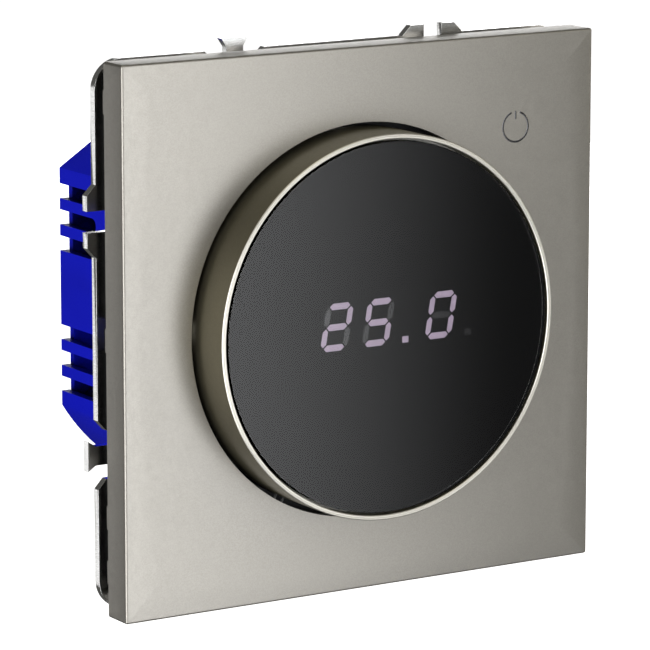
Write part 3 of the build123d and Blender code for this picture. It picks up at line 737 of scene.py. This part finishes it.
FINISHES: dict[str, Any] = {
    "cover_paint": Lacquer("champagne_lacquer", Champagne.COVER.value),
    # Dial: a darkened lacquer as painted shade on its side wall and a lighter rim colour as a painted
    # highlight on its front face; both stand for one lacquer.
    "dial_metal": Lacquer("champagne_dial_painted_light", (0.175, 0.160, 0.110), roughness=0.42, rim=Champagne.PAINTED_RIM_HIGHLIGHT.value),
    "icon_inlay": Plated("dark_chrome_inlay", (0.13, 0.13, 0.135), roughness=0.22, spangle=0.0004),
    "frame_steel": Plated("bright_zinc_sheet", STEEL, roughness=0.17, stretch=(1.0, 1.0, 20.0)),
    "bearing_plastic": Moulding("natural_acetal", (0.80, 0.79, 0.74), roughness=0.35, sheen=0.1),
    "black_plastic": Moulding("black_moulding", BLACK, roughness=0.48),
    "lens": ClearLens("clear_lens", (0.93, 0.93, 0.94)),
    "mask_film": Film("black_print", (0.0015, 0.0015, 0.0016)),
    "module_plastic": Moulding("grey_module", (0.06, 0.06, 0.065)),
    "segment_lit": Glow("lilac_glow", (0.60, 0.47, 0.63), 0.31),
    "segment_dark": Film("unlit_guide", (0.0016, 0.0015, 0.0016), ior=1.35),
    "tinned_pin": Plated("tinned_wire", (0.22, 0.22, 0.21), roughness=0.45, spangle=0.0005),
    "circuit_board": BoardLacquer("green_board", (0.008, 0.075, 0.032), (0.02, 0.15, 0.06)),
    "spring_steel": Plated("spring_wire", (0.62, 0.62, 0.60), roughness=0.25, spangle=0.0005),
    "ribbon_film": Moulding("amber_film", (0.55, 0.25, 0.03), roughness=0.2),
    "sensor_bead": Moulding("epoxy_bead", (0.02, 0.018, 0.016), roughness=0.2),
    # The blue moulding gets painted shade in its hollows and inside it, darkened by occlusion.
    "blue_plastic": Moulding("blue_moulding", BLUE, roughness=0.5, specular=0.10, painted_shade_reach=0.012),
    "relay_case": Moulding("relay_black", (0.008, 0.008, 0.009), roughness=0.3),
    "transformer_case": Moulding("potted_grey", (0.03, 0.03, 0.032), roughness=0.6),
    "film_case": Moulding("film_yellow", (0.60, 0.44, 0.06), roughness=0.35),
    "capacitor_can": Moulding("sleeve_black", (0.012, 0.012, 0.02), roughness=0.25),
    "fuse_case": Moulding("fuse_brown", (0.06, 0.03, 0.02), roughness=0.3),
    "varistor_coat": Moulding("varistor_blue", (0.02, 0.10, 0.35), roughness=0.25),
    "terminal_plastic": Moulding("terminal_grey", (0.03, 0.03, 0.033), roughness=0.5),
    "terminal_brass": Plated("brass_strip", (0.72, 0.52, 0.22), roughness=0.3, spangle=0.0006),
    "clamp_steel": Plated("clamp_zinc", (0.66, 0.66, 0.62), roughness=0.32),
    "zinc_screw": Plated("screw_zinc", ZINC, roughness=0.25, spangle=0.0006),
}


class Wardrobe:
    """Makes each finish once and dresses pieces in it."""

    def __init__(self) -> None:
        """Start with no finish made."""
        self.made: dict[str, bpy.types.Material] = {}

    def get(self, slot: str) -> bpy.types.Material:
        """The material of a record slot."""
        if slot not in self.made:
            self.made[slot] = FINISHES[slot].make()
        return self.made[slot]

    def dress(self, piece: bpy.types.Object, slot: str, body: str, *nodes: str) -> bpy.types.Object:
        """Finish a new piece and tie it to the frame.

        Args:
            piece: the new object.
            slot: record slot that gives its finish.
            body: CAD body that it rides on.
            nodes: CAD nodes that it replaces.

        Returns:
            The same piece.
        """
        piece.data.materials.clear()
        piece.data.materials.append(self.get(slot))
        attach(piece, body)
        if nodes:
            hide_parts(*nodes)
        log.info("%s rides %s and stands for %s", piece.name, body, ", ".join(nodes) or "nothing")
        return piece

    def dress_nodes(self, frame: dict[str, Any]) -> None:
        """Give every CAD node the finish of its record slot."""
        for part in frame["record"]["subparts"]:
            node = frame["nodes"][part["node"]]
            for number in range(len(node.material_slots)):
                node.material_slots[number].material = self.get(part["material_slot"])


# ---- front cover ----------------------------------------------------------------------------
@dataclass
class FrontCover:
    """Square lacquered cover with a round hole, pads on its rear edge and the power mark."""

    wardrobe: Wardrobe
    edge: float = 0.33 * MM
    hole_edge: float = 0.15 * MM
    skirt: float = 1.6 * MM
    face: float = 1.8 * MM
    hole_gap: float = 0.75 * MM
    pad: float = 0.3 * MM
    pad_length: float = 3.2 * MM
    mark_line: float = 0.27 * MM
    mark_proud: float = 0.035 * MM
    mark_gap: float = 17.0
    mark_bar: float = 1.15 * MM
    side_pads: tuple[float, ...] = (30.4 * MM, 0.2 * MM, -22.6 * MM, -29.7 * MM)
    end_pads: tuple[float, ...] = (29.0 * MM, 0.0, -29.0 * MM)
    hook_inset: float = 1.45 * MM
    hook_sheet: float = 1.0 * MM
    hook_catch: float = 1.7 * MM
    hook_barb: float = 0.6 * MM
    hook_tip: float = 0.8 * MM
    hook_half: float = 3.5 * MM
    hook_height: float = 13.0 * MM

    def __post_init__(self) -> None:
        """Read the places that the frame fixes."""
        self.low, self.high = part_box("cover_plate")
        self.half = self.high.x
        self.front = self.low.y
        self.rear = self.high.y - self.pad
        self.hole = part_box("dial_ring")[1].x + self.hole_gap
        mark_low, mark_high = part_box("power_icon")
        self.mark = ((mark_low.x + mark_high.x) / 2, (mark_low.z + mark_high.z) / 2)
        self.mark_radius = (mark_high.x - mark_low.x - self.mark_line) / 2

    def plate(self) -> Array:
        """Cover's closed surface round its hole.

        Rows follow the square's outline and columns the wall's section: up the hole's wall,
        round its edge, across the face by a straight blend from the circle to the square,
        round the outer edge, down the skirt and back inside. On each row, circle and square
        are met in the same direction from the middle.

        Returns:
            Grid of shape (points of the outline, columns, 3).
        """
        outer = rounded_square(self.half, self.edge, 40, 6)
        inner = rounded_square(self.half - self.skirt, 0.2 * MM, 40, 6)
        ray = outer / np.linalg.norm(outer, axis=1, keepdims=True)
        circle = ray * self.hole
        inside = self.front + self.face
        columns = [(circle, inside), (circle, self.front + self.hole_edge)]
        columns += [(ray * (self.hole + self.hole_edge - gap), self.front + drop)
                    for gap, drop in quarter_round(self.hole_edge)[::-1]]
        flat = inset(outer, self.edge)
        start = ray * (self.hole + self.hole_edge)
        columns += [(start + (flat - start) * part, self.front) for part in (0.25, 0.5, 0.75)]
        columns += [(inset(outer, gap), self.front + drop) for gap, drop in quarter_round(self.edge, 6)]
        columns += [(outer, self.rear - 0.08 * MM), (inset(outer, 0.08 * MM), self.rear)]
        columns += [(inner, self.rear), (inner, inside)]
        columns += [(inner + (circle - inner) * 0.5, inside)]
        stack = [np.stack([ring[:, 0], np.full(len(ring), y), ring[:, 1]], 1) for ring, y in columns]
        return np.stack(stack, 1)

    def pads(self) -> list[Array]:
        """Stand-off pads along the rear edge, flat blocks with softened corners.

        Returns:
            One grid for each pad.
        """
        middle = self.half - self.skirt / 2
        reach, across = self.pad_length / 2, self.skirt / 2 - 0.05 * MM
        sides = [(side * middle, place, across, reach) for side in (-1, 1) for place in self.side_pads]
        ends = [(place, side * middle, reach, across) for side in (-1, 1) for place in self.end_pads]
        soft = 0.2 * MM
        return [slab(rounded_loop([(x - a, z - b, soft), (x + a, z - b, soft),
                                   (x + a, z + b, soft), (x - a, z + b, soft)], 4),
                     self.high.y, self.rear - 0.1 * MM, 0.06 * MM) for x, z, a, b in sides + ends]

    def hooks(self) -> list[Array]:
        """The four spring hooks: an outline in X and Y carried along Z.

        Returns:
            One grid for each hook.
        """
        base_low, base_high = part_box("front_base")
        outer = base_high.x - self.hook_inset
        inner, root = outer - self.hook_sheet, self.front + self.face
        catch = base_low.y + self.hook_catch
        tip = catch + self.hook_tip
        soft = 0.12 * MM
        section = rounded_loop([(inner, root, soft), (outer, root, soft), (outer, catch, soft),
                                (outer + self.hook_barb, catch, soft),
                                (outer + self.hook_barb / 2, tip, soft), (inner, tip, soft)], 4)
        centre = section.mean(0)
        grids = []
        for side in (-1, 1):
            for z in (-self.hook_height, self.hook_height):
                widths = z + self.hook_half * np.array([-1, -1, 1, 1])
                rings = [centre + 0 * section, section, section, centre + 0 * section]
                grids.append(np.stack([np.stack([side * ring[:, 0], ring[:, 1],
                                                 np.full(len(ring), w)], 1)
                                       for ring, w in zip(rings, widths)], 1))
        return grids

    def power_mark(self) -> list[Array]:
        """Ring open at the top and a bar: a low oval section carried along an arc and a line.

        The section is (cos, sin) of its angle times half the line's width and its height
        above the face, and it shrinks to a point at each end.

        Returns:
            One grid for the arc and one for the bar.
        """
        gap = math.radians(self.mark_gap)
        turn = np.linspace(math.pi / 2 + gap, math.pi / 2 + TURN - gap, 120)
        x, z = self.mark
        arc = np.stack([x + self.mark_radius * np.cos(turn), z + self.mark_radius * np.sin(turn)], 1)
        top = z + self.mark_radius + self.mark_line / 2
        rise = np.linspace(top - self.mark_bar, top, 12)
        bar = np.stack([np.full_like(rise, x), rise], 1)
        angle = np.linspace(0, TURN, 14, endpoint=False)[:, None]
        grids = []
        for line in (arc, bar):
            ahead = np.gradient(line, axis=0)
            ahead /= np.linalg.norm(ahead, axis=1, keepdims=True)
            across = np.stack([ahead[:, 1], -ahead[:, 0]], 1)
            size = np.ones(len(line))
            size[[0, -1]] = 1e-4
            width = np.cos(angle) * size * self.mark_line / 2
            height = np.sin(angle) * size * self.mark_proud
            grids.append(np.stack([line[:, 0] + width * across[:, 0],
                                   self.front - height + 0 * width,
                                   line[:, 1] + width * across[:, 1]], -1))
        return grids

    def build(self) -> None:
        """Make the cover and the mark."""
        shell = Shell().add(self.plate(), True, True)
        for grid in self.pads() + self.hooks():
            shell.add(grid)
        self.wardrobe.dress(shell.build("front_cover"), "cover_paint", "body", "cover_plate")
        mark = Shell()
        for grid in self.power_mark():
            mark.add(grid)
        self.wardrobe.dress(mark.build("power_mark"), "icon_inlay", "body", "power_icon")


# ---- dial and display -----------------------------------------------------------------------
@dataclass
class Dial:
    """Turned sleeve with a bevelled rim round the fixed lens; its front face carries a painted highlight.
    """

    wardrobe: Wardrobe
    wall: float = 0.63 * MM
    bevel: float = 0.13 * MM
    groove: float = 0.05 * MM
    lens_edge: float = 0.10 * MM
    steps: int = 360

    def sleeve(self) -> Array:
        """Section of the sleeve turned round Y: outer wall, bevel, rim with a fine turned
        line in its middle, inner bevel and bore.

        Returns:
            Grid of shape (steps, points of the section, 3).
        """
        low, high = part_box("dial_ring")
        radius, front, rear = high.x, low.y, high.y
        bore = radius - self.wall
        middle = radius - self.wall * 0.46
        line = self.groove
        section = rounded_loop([
            (radius, rear, 0.05 * MM), (radius, front + self.bevel, 0.05 * MM),
            (radius - self.bevel, front, 0.03 * MM), (middle + line, front, 0.01 * MM),
            (middle, front + line * 0.7, 0.008 * MM), (middle - line, front, 0.01 * MM),
            (bore + self.bevel * 0.8, front, 0.03 * MM), (bore, front + self.bevel * 0.8, 0.03 * MM),
            (bore, rear, 0.05 * MM)], 5)
        return lathe(section, self.steps)

    def lens(self) -> Array:
        """Lens turned round Y, from the middle of its face over its rounded edge to its rear.

        Returns:
            Grid of shape (steps, points of the profile, 3).
        """
        low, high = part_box("display_lens")
        radius, front, rear = high.x, low.y, high.y
        flat = radius - 2 * self.lens_edge
        face = np.array([[0.0, front], [flat * 0.5, front], [flat, front]])
        edge = np.stack([radius - quarter_round(self.lens_edge)[:, 0],
                         front + quarter_round(self.lens_edge)[:, 1]], 1)
        back = np.array([[radius, rear - 0.03 * MM], [radius - 0.03 * MM, rear],
                         [flat, rear], [flat * 0.5, rear], [0.0, rear]])
        return lathe(np.concatenate([face, edge, back]), self.steps)

    def build(self) -> None:
        """Make the sleeve and the lens."""
        sleeve = Shell().add(self.sleeve(), True, True).build("dial_sleeve")
        self.wardrobe.dress(sleeve, "dial_metal", "dial", "dial_ring")
        lens = Shell().add(self.lens()).build("smoked_lens")
        self.wardrobe.dress(lens, "lens", "body", "display_lens")


# ---- moulded and stamped pieces -------------------------------------------------------------
@dataclass
class Carcass:
    """The pieces whose CAD shape is right and only their edges need softening."""

    wardrobe: Wardrobe
    frame: dict[str, Any]
    cage_rounding: float = 0.10 * MM
    roundings: dict[str, float] = field(default_factory=lambda: {
        "support_frame": 0.14, "housing": 0.18, "rear_cover": 0.12, "front_base": 0.12,
        "display_hub": 0.12, "display_module": 0.10, "front_board": 0.06, "power_board": 0.06,
        "touch_board": 0.05, "board_socket": 0.12, "header_strip": 0.12, "relay": 0.25,
        "transformer": 0.3, "film_capacitor": 0.25, "rectifier": 0.15, "terminal_block": 0.15,
        "encoder": 0.15, "busbars": 0.08, "slide_ring": 0.06,
    })

    def build(self) -> None:
        """Make a softened copy of each piece."""
        record, objects = self.frame["record"], self.frame["nodes"]
        slots = {part["node"]: part["material_slot"] for part in record["subparts"]}
        bodies = {node: body for body, nodes in record["behaviour"]["bodies"].items()
                  for node in nodes}
        for node, width in self.roundings.items():
            piece = softened(objects[node], f"{node}_soft", width * MM)
            self.wardrobe.dress(piece, slots[node], bodies[node], node)
        for number in (1, 2, 3, 4):
            node = f"clamp_cage_{number}"
            piece = softened(objects[node], f"{node}_soft", self.cage_rounding)
            self.wardrobe.dress(piece, "clamp_steel", node, node)


# ---- small parts ----------------------------------------------------------------------------
@dataclass
class TouchSpring:
    """Coil spring between the touch board and the cover."""

    wardrobe: Wardrobe
    wire: float = 0.15 * MM
    coils: float = 4.0
    steps: int = 240

    def build(self) -> None:
        """Make the spring.

        The path is a helix about Y, x = r cos a and z = r sin a, whose y moves evenly except
        near both ends, where the coils lie flat; the wire's section is carried along it.
        """
        low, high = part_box("touch_spring")
        x, z = (low.x + high.x) / 2, (low.z + high.z) / 2
        radius = (high.x - low.x) / 2 - self.wire
        turn = np.linspace(0, TURN * self.coils, self.steps)
        part = turn / turn[-1]
        lift = np.clip((part - 0.12) / 0.76, 0, 1)
        y = high.y - self.wire - lift * (high.y - low.y - 2 * self.wire)
        path = np.stack([x + radius * np.cos(turn), y, z + radius * np.sin(turn)], 1)
        size = np.full(self.steps, self.wire)
        size[[0, -1]] = 1e-7
        spring = Shell().add(tube(path, size)).build("coil_spring")
        self.wardrobe.dress(spring, "spring_steel", "body", "touch_spring")


class Drive(Enum):
    """How a screw is driven."""

    SLOT = "slot"
    CROSS = "cross"


@dataclass
class Screw:
    """A threaded screw whose axis is parallel to Y."""

    x: float
    z: float
    seat: float
    tip: float
    top: float
    head: float
    shank: float
    drive: Drive
    pitch: float = 0.5 * MM
    thread: float = 0.16 * MM
    recess: float = 0.55 * MM
    sunk: bool = False

    def grid(self) -> Array:
        """Surface of the screw as rows of angle and columns along its outline.

        The shank's radius falls by the thread's depth where the angle, counted in turns,
        and the way along the axis, counted in pitches, are out of step. The head's top is a
        height over polar places, lowered inside the recess by a smooth step of the distance
        from the slot's or the cross's middle lines.

        Returns:
            Grid of shape (angles, points along the outline, 3).
        """
        steps = 72
        angle = np.linspace(0, TURN, steps, endpoint=False)[:, None]
        sign = 1.0 if self.tip > self.seat else -1.0
        length = abs(self.tip - self.seat)
        along = np.linspace(0, 1, max(24, int(length / self.pitch * 8)))[None, :]
        phase = (along * length / self.pitch - angle / TURN) % 1.0
        crest = 1 - np.abs(2 * phase - 1)
        taper = np.clip((1 - along) * length / (1.2 * self.shank), 0.25, 1)
        radius = (self.shank - self.thread * (1 - np.clip(crest * 1.6, 0, 1))) * taper
        shank_y = self.seat + sign * along * length + 0 * angle
        rim = 0.18 * self.head
        height = abs(self.top - self.seat)
        if self.sunk:
            side_r = np.array([self.shank, self.head])[None, :] + 0 * angle
            side_y = np.array([self.seat, self.top])[None, :] + 0 * angle
        else:
            side_r = np.array([self.shank, self.head - 0.05 * MM, self.head, self.head])[None, :]
            side_r = side_r + 0 * angle
            side_y = self.seat - sign * np.array([0, 0, 0.05 * MM, height - rim])[None, :] + 0 * angle
        part = np.linspace(1, 0, 26)[None, :]
        dome = np.zeros_like(part) if self.sunk else rim * (1 - np.sqrt(np.clip(1 - part ** 6, 0, 1)))
        top_r = self.head * part + 0 * angle
        across, upright = top_r * np.cos(angle), top_r * np.sin(angle)
        lines = [np.abs(upright)] if self.drive is Drive.SLOT else [np.abs(upright), np.abs(across)]
        width = 0.16 * self.head
        cut = np.max([np.clip((width - line) / (0.35 * width) + 0.5, 0, 1) for line in lines], axis=0)
        if self.drive is Drive.CROSS:
            cut = cut * np.clip((0.62 * self.head - top_r) / (0.15 * self.head), 0, 1)
        top_y = self.top + sign * (dome + self.recess * cut)
        radii = np.concatenate([radius[:, ::-1], side_r, top_r], 1)
        depths = np.concatenate([shank_y[:, ::-1], side_y, top_y], 1)
        tip = np.zeros((steps, 1))
        radii = np.concatenate([tip, radii], 1)
        depths = np.concatenate([tip + self.tip, depths], 1)
        return np.stack([self.x + radii * np.cos(angle), depths, self.z + radii * np.sin(angle)], -1)


@dataclass(frozen=True)
class ScrewKind:
    """What the screws of one CAD node have in common."""

    slot: str
    drive: Drive
    thread: float
    recess: float
    sunk: float = 0.0


SCREWS = {
    "base_screws": ScrewKind("zinc_screw", Drive.CROSS, 0.10 * MM, 0.50 * MM),
    "board_screws": ScrewKind("zinc_screw", Drive.CROSS, 0.10 * MM, 0.50 * MM),
    "hub_screws": ScrewKind("zinc_screw", Drive.CROSS, 0.08 * MM, 0.45 * MM),
    "rear_screws": ScrewKind("zinc_screw", Drive.CROSS, 0.10 * MM, 0.45 * MM, 0.85 * MM),
}
CLAMP_SCREW = ScrewKind("zinc_screw", Drive.SLOT, 0.16 * MM, 0.70 * MM)


@dataclass
class Fasteners:
    """All screws, placed where their CAD nodes are."""

    wardrobe: Wardrobe
    nodes: dict[str, Any]
    foot: float = 0.2 * MM

    def fitted(self, points: Array, kind: ScrewKind) -> Array:
        """Surface of a screw that fills the room of a plain CAD screw.

        The axis is the middle of the points. The head is on the side where the widest points
        are, and the shank is as wide as the points near the other end.

        Args:
            points: points of one CAD screw.
            kind: its drive and thread.

        Returns:
            The screw's grid.
        """
        low, high = points.min(0), points.max(0)
        x, z = (low[0] + high[0]) / 2, (low[2] + high[2]) / 2
        radius = np.hypot(points[:, 0] - x, points[:, 2] - z)
        head = radius.max()
        wide = points[radius > 0.9 * head, 1]
        behind = wide.mean() > (low[1] + high[1]) / 2
        top, tip = (high[1], low[1]) if behind else (low[1], high[1])
        toward = 1.0 if tip > top else -1.0
        shank = radius[np.abs(points[:, 1] - tip) < self.foot].max()
        flat = wide[np.argmax(np.abs(wide - top))]
        seat = top + toward * kind.sunk if kind.sunk else flat
        return Screw(x, z, seat, tip, top, head, shank, kind.drive, thread=kind.thread,
                     recess=kind.recess, sunk=kind.sunk > 0).grid()

    def build(self) -> None:
        """Make every screw."""
        for node, kind in SCREWS.items():
            shell = Shell()
            for points in islands(merged(self.nodes[node], f"{node}_guide")):
                shell.add(self.fitted(points, kind))
            self.wardrobe.dress(shell.build(f"{node}_cut"), kind.slot, "body", node)
        for number in (1, 2, 3, 4):
            node = f"terminal_screw_{number}"
            points, = islands(merged(self.nodes[node], f"{node}_guide"))
            piece = Shell().add(self.fitted(points, CLAMP_SCREW)).build(f"clamp_screw_{number}")
            self.wardrobe.dress(piece, CLAMP_SCREW.slot, node, node)


# ---- studio ---------------------------------------------------------------------------------
@dataclass(frozen=True)
class SoftBox:
    """A rectangular studio light."""

    name: str
    place: Colour
    aim: Colour
    size: tuple[float, float]
    power: float
    colour: Colour = (1.0, 1.0, 1.0)

    def build(self) -> None:
        """Hang the light."""
        light = bpy.data.lights.new(self.name, "AREA")
        light.shape = "RECTANGLE"
        light.size, light.size_y = self.size
        light.energy = self.power
        light.color = self.colour
        box = bpy.data.objects.new(self.name, light)
        box.location = self.place
        way = Vector(self.aim) - Vector(self.place)
        box.rotation_euler = way.to_track_quat("-Z", "Y").to_euler()
        box.visible_camera = False
        bpy.context.scene.collection.objects.link(box)


@dataclass
class Studio:
    """Floor, surroundings, lights and camera."""

    azimuth: float = 32.55
    elevation: float = 10.92
    distance: float = 0.5578
    lens: float = 240.0
    aim_side: float = -5.97 * MM
    drop: float = 0.05
    card_left: float = -0.02
    card_right: float = 0.26
    card_foot: float = -0.17
    card_top: float = 0.13
    card_depth: float = -0.14
    fall_start: float = 0.032
    fall_end: float = 0.109
    card_glow: float = 2.55
    card_dim: float = 0.16
    dome_radius: float = 25.0

    def camera(self) -> None:
        """Stand the camera in front of the cover, to the left and a little above."""
        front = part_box("cover_plate")[0].y
        across, up = math.radians(self.azimuth), math.radians(self.elevation)
        eye = Vector((-math.sin(across) * math.cos(up), -math.cos(across) * math.cos(up), math.sin(up)))
        eye = eye * self.distance + Vector((0.0, front, 0.0))
        data = bpy.data.cameras.new("viewpoint")
        data.lens, data.sensor_width = self.lens, 36.0
        data.clip_start, data.clip_end = 0.01, 100.0
        camera = bpy.data.objects.new("viewpoint", data)
        camera.location = eye
        way = Vector((self.aim_side, front, 0.0)) - eye
        camera.rotation_euler = way.to_track_quat("-Z", "Y").to_euler()
        bpy.context.scene.collection.objects.link(camera)
        bpy.context.scene.camera = camera

    def floor(self) -> None:
        """A pale round floor below the part.

        A point is (r cos a, r sin a) at the floor's height, for a few growing radii.
        """
        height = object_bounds()[0].z - self.drop
        radius = np.array([0.0, 0.5, 2.0, 8.0, 30.0])
        angle = np.linspace(0, TURN, 96, endpoint=False)[:, None]
        grid = np.stack([radius * np.cos(angle), radius * np.sin(angle), height + 0 * radius * angle], -1)
        shell = Shell()
        shell.add(grid)
        floor = shell.build("floor")
        shader = Shader("pale_floor")
        shader.set(Base_Color=(0.9, 0.9, 0.9), Roughness=0.9, Emission_Color=(1.0, 1.0, 1.0),
                   Emission_Strength=1.0)
        floor.data.materials.append(shader.material)
        floor.visible_glossy = False
        floor.visible_diffuse = False
        floor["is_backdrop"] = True

    def card(self) -> None:
        """A glowing upright card before the part, whose light falls off to the right.

        Its corners are (x, depth, z) for its left and right edges and its foot and top.
        """
        corners = [(x, self.card_depth, z) for x, z in (
            (self.card_left, self.card_foot), (self.card_right, self.card_foot),
            (self.card_right, self.card_top), (self.card_left, self.card_top))]
        mesh = bpy.data.meshes.new("glow_card")
        mesh.from_pydata(corners, [], [(0, 1, 2, 3)])
        card = add_object("glow_card", mesh)
        shader = Shader("glow_card")
        shader.set(Base_Color=(0.0, 0.0, 0.0), Specular_IOR_Level=0.0, Emission_Color=(0.99, 1.0, 1.02))
        place = shader.node("SeparateXYZ", {0: shader.place()})
        reach = {1: self.fall_start, 2: self.fall_end, 3: self.card_glow, 4: self.card_dim}
        fall = shader.node("MapRange", {0: place.outputs[0], **reach}, interpolation_type="SMOOTHSTEP")
        shader.join(fall.outputs[0], "Emission Strength")
        card.data.materials.append(shader.material)
        card.visible_camera = False
        card.visible_shadow = False
        card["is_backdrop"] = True

    def surroundings(self) -> None:
        """Even soft light from all round, and a white view of it.

        The backdrop is a ball: its points are given by an angle round Z and a tilt from level.
        """
        world = bpy.data.worlds.new("surroundings")
        world.use_nodes = True
        world.node_tree.nodes["Background"].inputs[0].default_value = (1.0, 0.98, 0.93, 1.0)
        world.node_tree.nodes["Background"].inputs[1].default_value = WORLD_LIGHT
        bpy.context.scene.world = world
        angle = np.linspace(0, TURN, 64, endpoint=False)[:, None]
        tilt = np.linspace(-math.pi / 2, math.pi / 2, 33)[None, :]
        dome = self.dome_radius * np.stack([np.cos(tilt) * np.cos(angle), np.cos(tilt) * np.sin(angle),
                                np.sin(tilt) + 0 * angle], -1)
        sky = Shell().add(dome).build("white_backdrop")
        shader = Shader("white_backdrop")
        shader.set(Base_Color=(0.0, 0.0, 0.0), Emission_Color=(1.0, 1.0, 1.0), Emission_Strength=1.0)
        sky.data.materials.append(shader.material)
        for way in ("glossy", "diffuse", "transmission", "shadow", "volume_scatter"):
            setattr(sky, f"visible_{way}", False)
        sky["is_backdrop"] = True

    def build(self) -> None:
        """Set the whole studio."""
        self.camera()
        self.floor()
        self.surroundings()
        self.card()
        for light in LIGHTS:
            light.build()
        bpy.context.scene.view_settings.view_transform = "Standard"


WORLD_LIGHT = 0.09
WARM: Colour = (1.0, 0.93, 0.70)
LIGHTS = (
    SoftBox("left_key", (-0.25, -0.155, -0.055), (0.0, 0.0, 0.0), (0.26, 0.40), 1.15),
    SoftBox("back_left", (-0.40, 0.64, -0.145), (0.0, 0.0, 0.0), (0.20, 0.36), 0.23),
    SoftBox("back_fill", (0.40, 0.60, 0.02), (0.0, 0.0, 0.0), (0.4, 0.4), 1.6),
    SoftBox("right_fill", (0.50, -0.35, 0.15), (0.0, 0.0, 0.0), (0.4, 0.4), 1.0, WARM),
    SoftBox("top_fill", (-0.1, -0.1, 0.6), (0.0, 0.0, 0.0), (0.5, 0.5), 0.7, WARM),
)


def main() -> None:
    """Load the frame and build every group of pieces."""
    logging.basicConfig(level=logging.INFO, format="%(name)s: %(message)s")
    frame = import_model()
    wardrobe = Wardrobe()
    wardrobe.dress_nodes(frame)
    studio = Studio()
    studio.build()
    FrontCover(wardrobe).build()
    Dial(wardrobe).build()
    Carcass(wardrobe, frame).build()
    TouchSpring(wardrobe).build()
    Fasteners(wardrobe, frame["nodes"]).build()


if __name__ == "__main__":
    main()
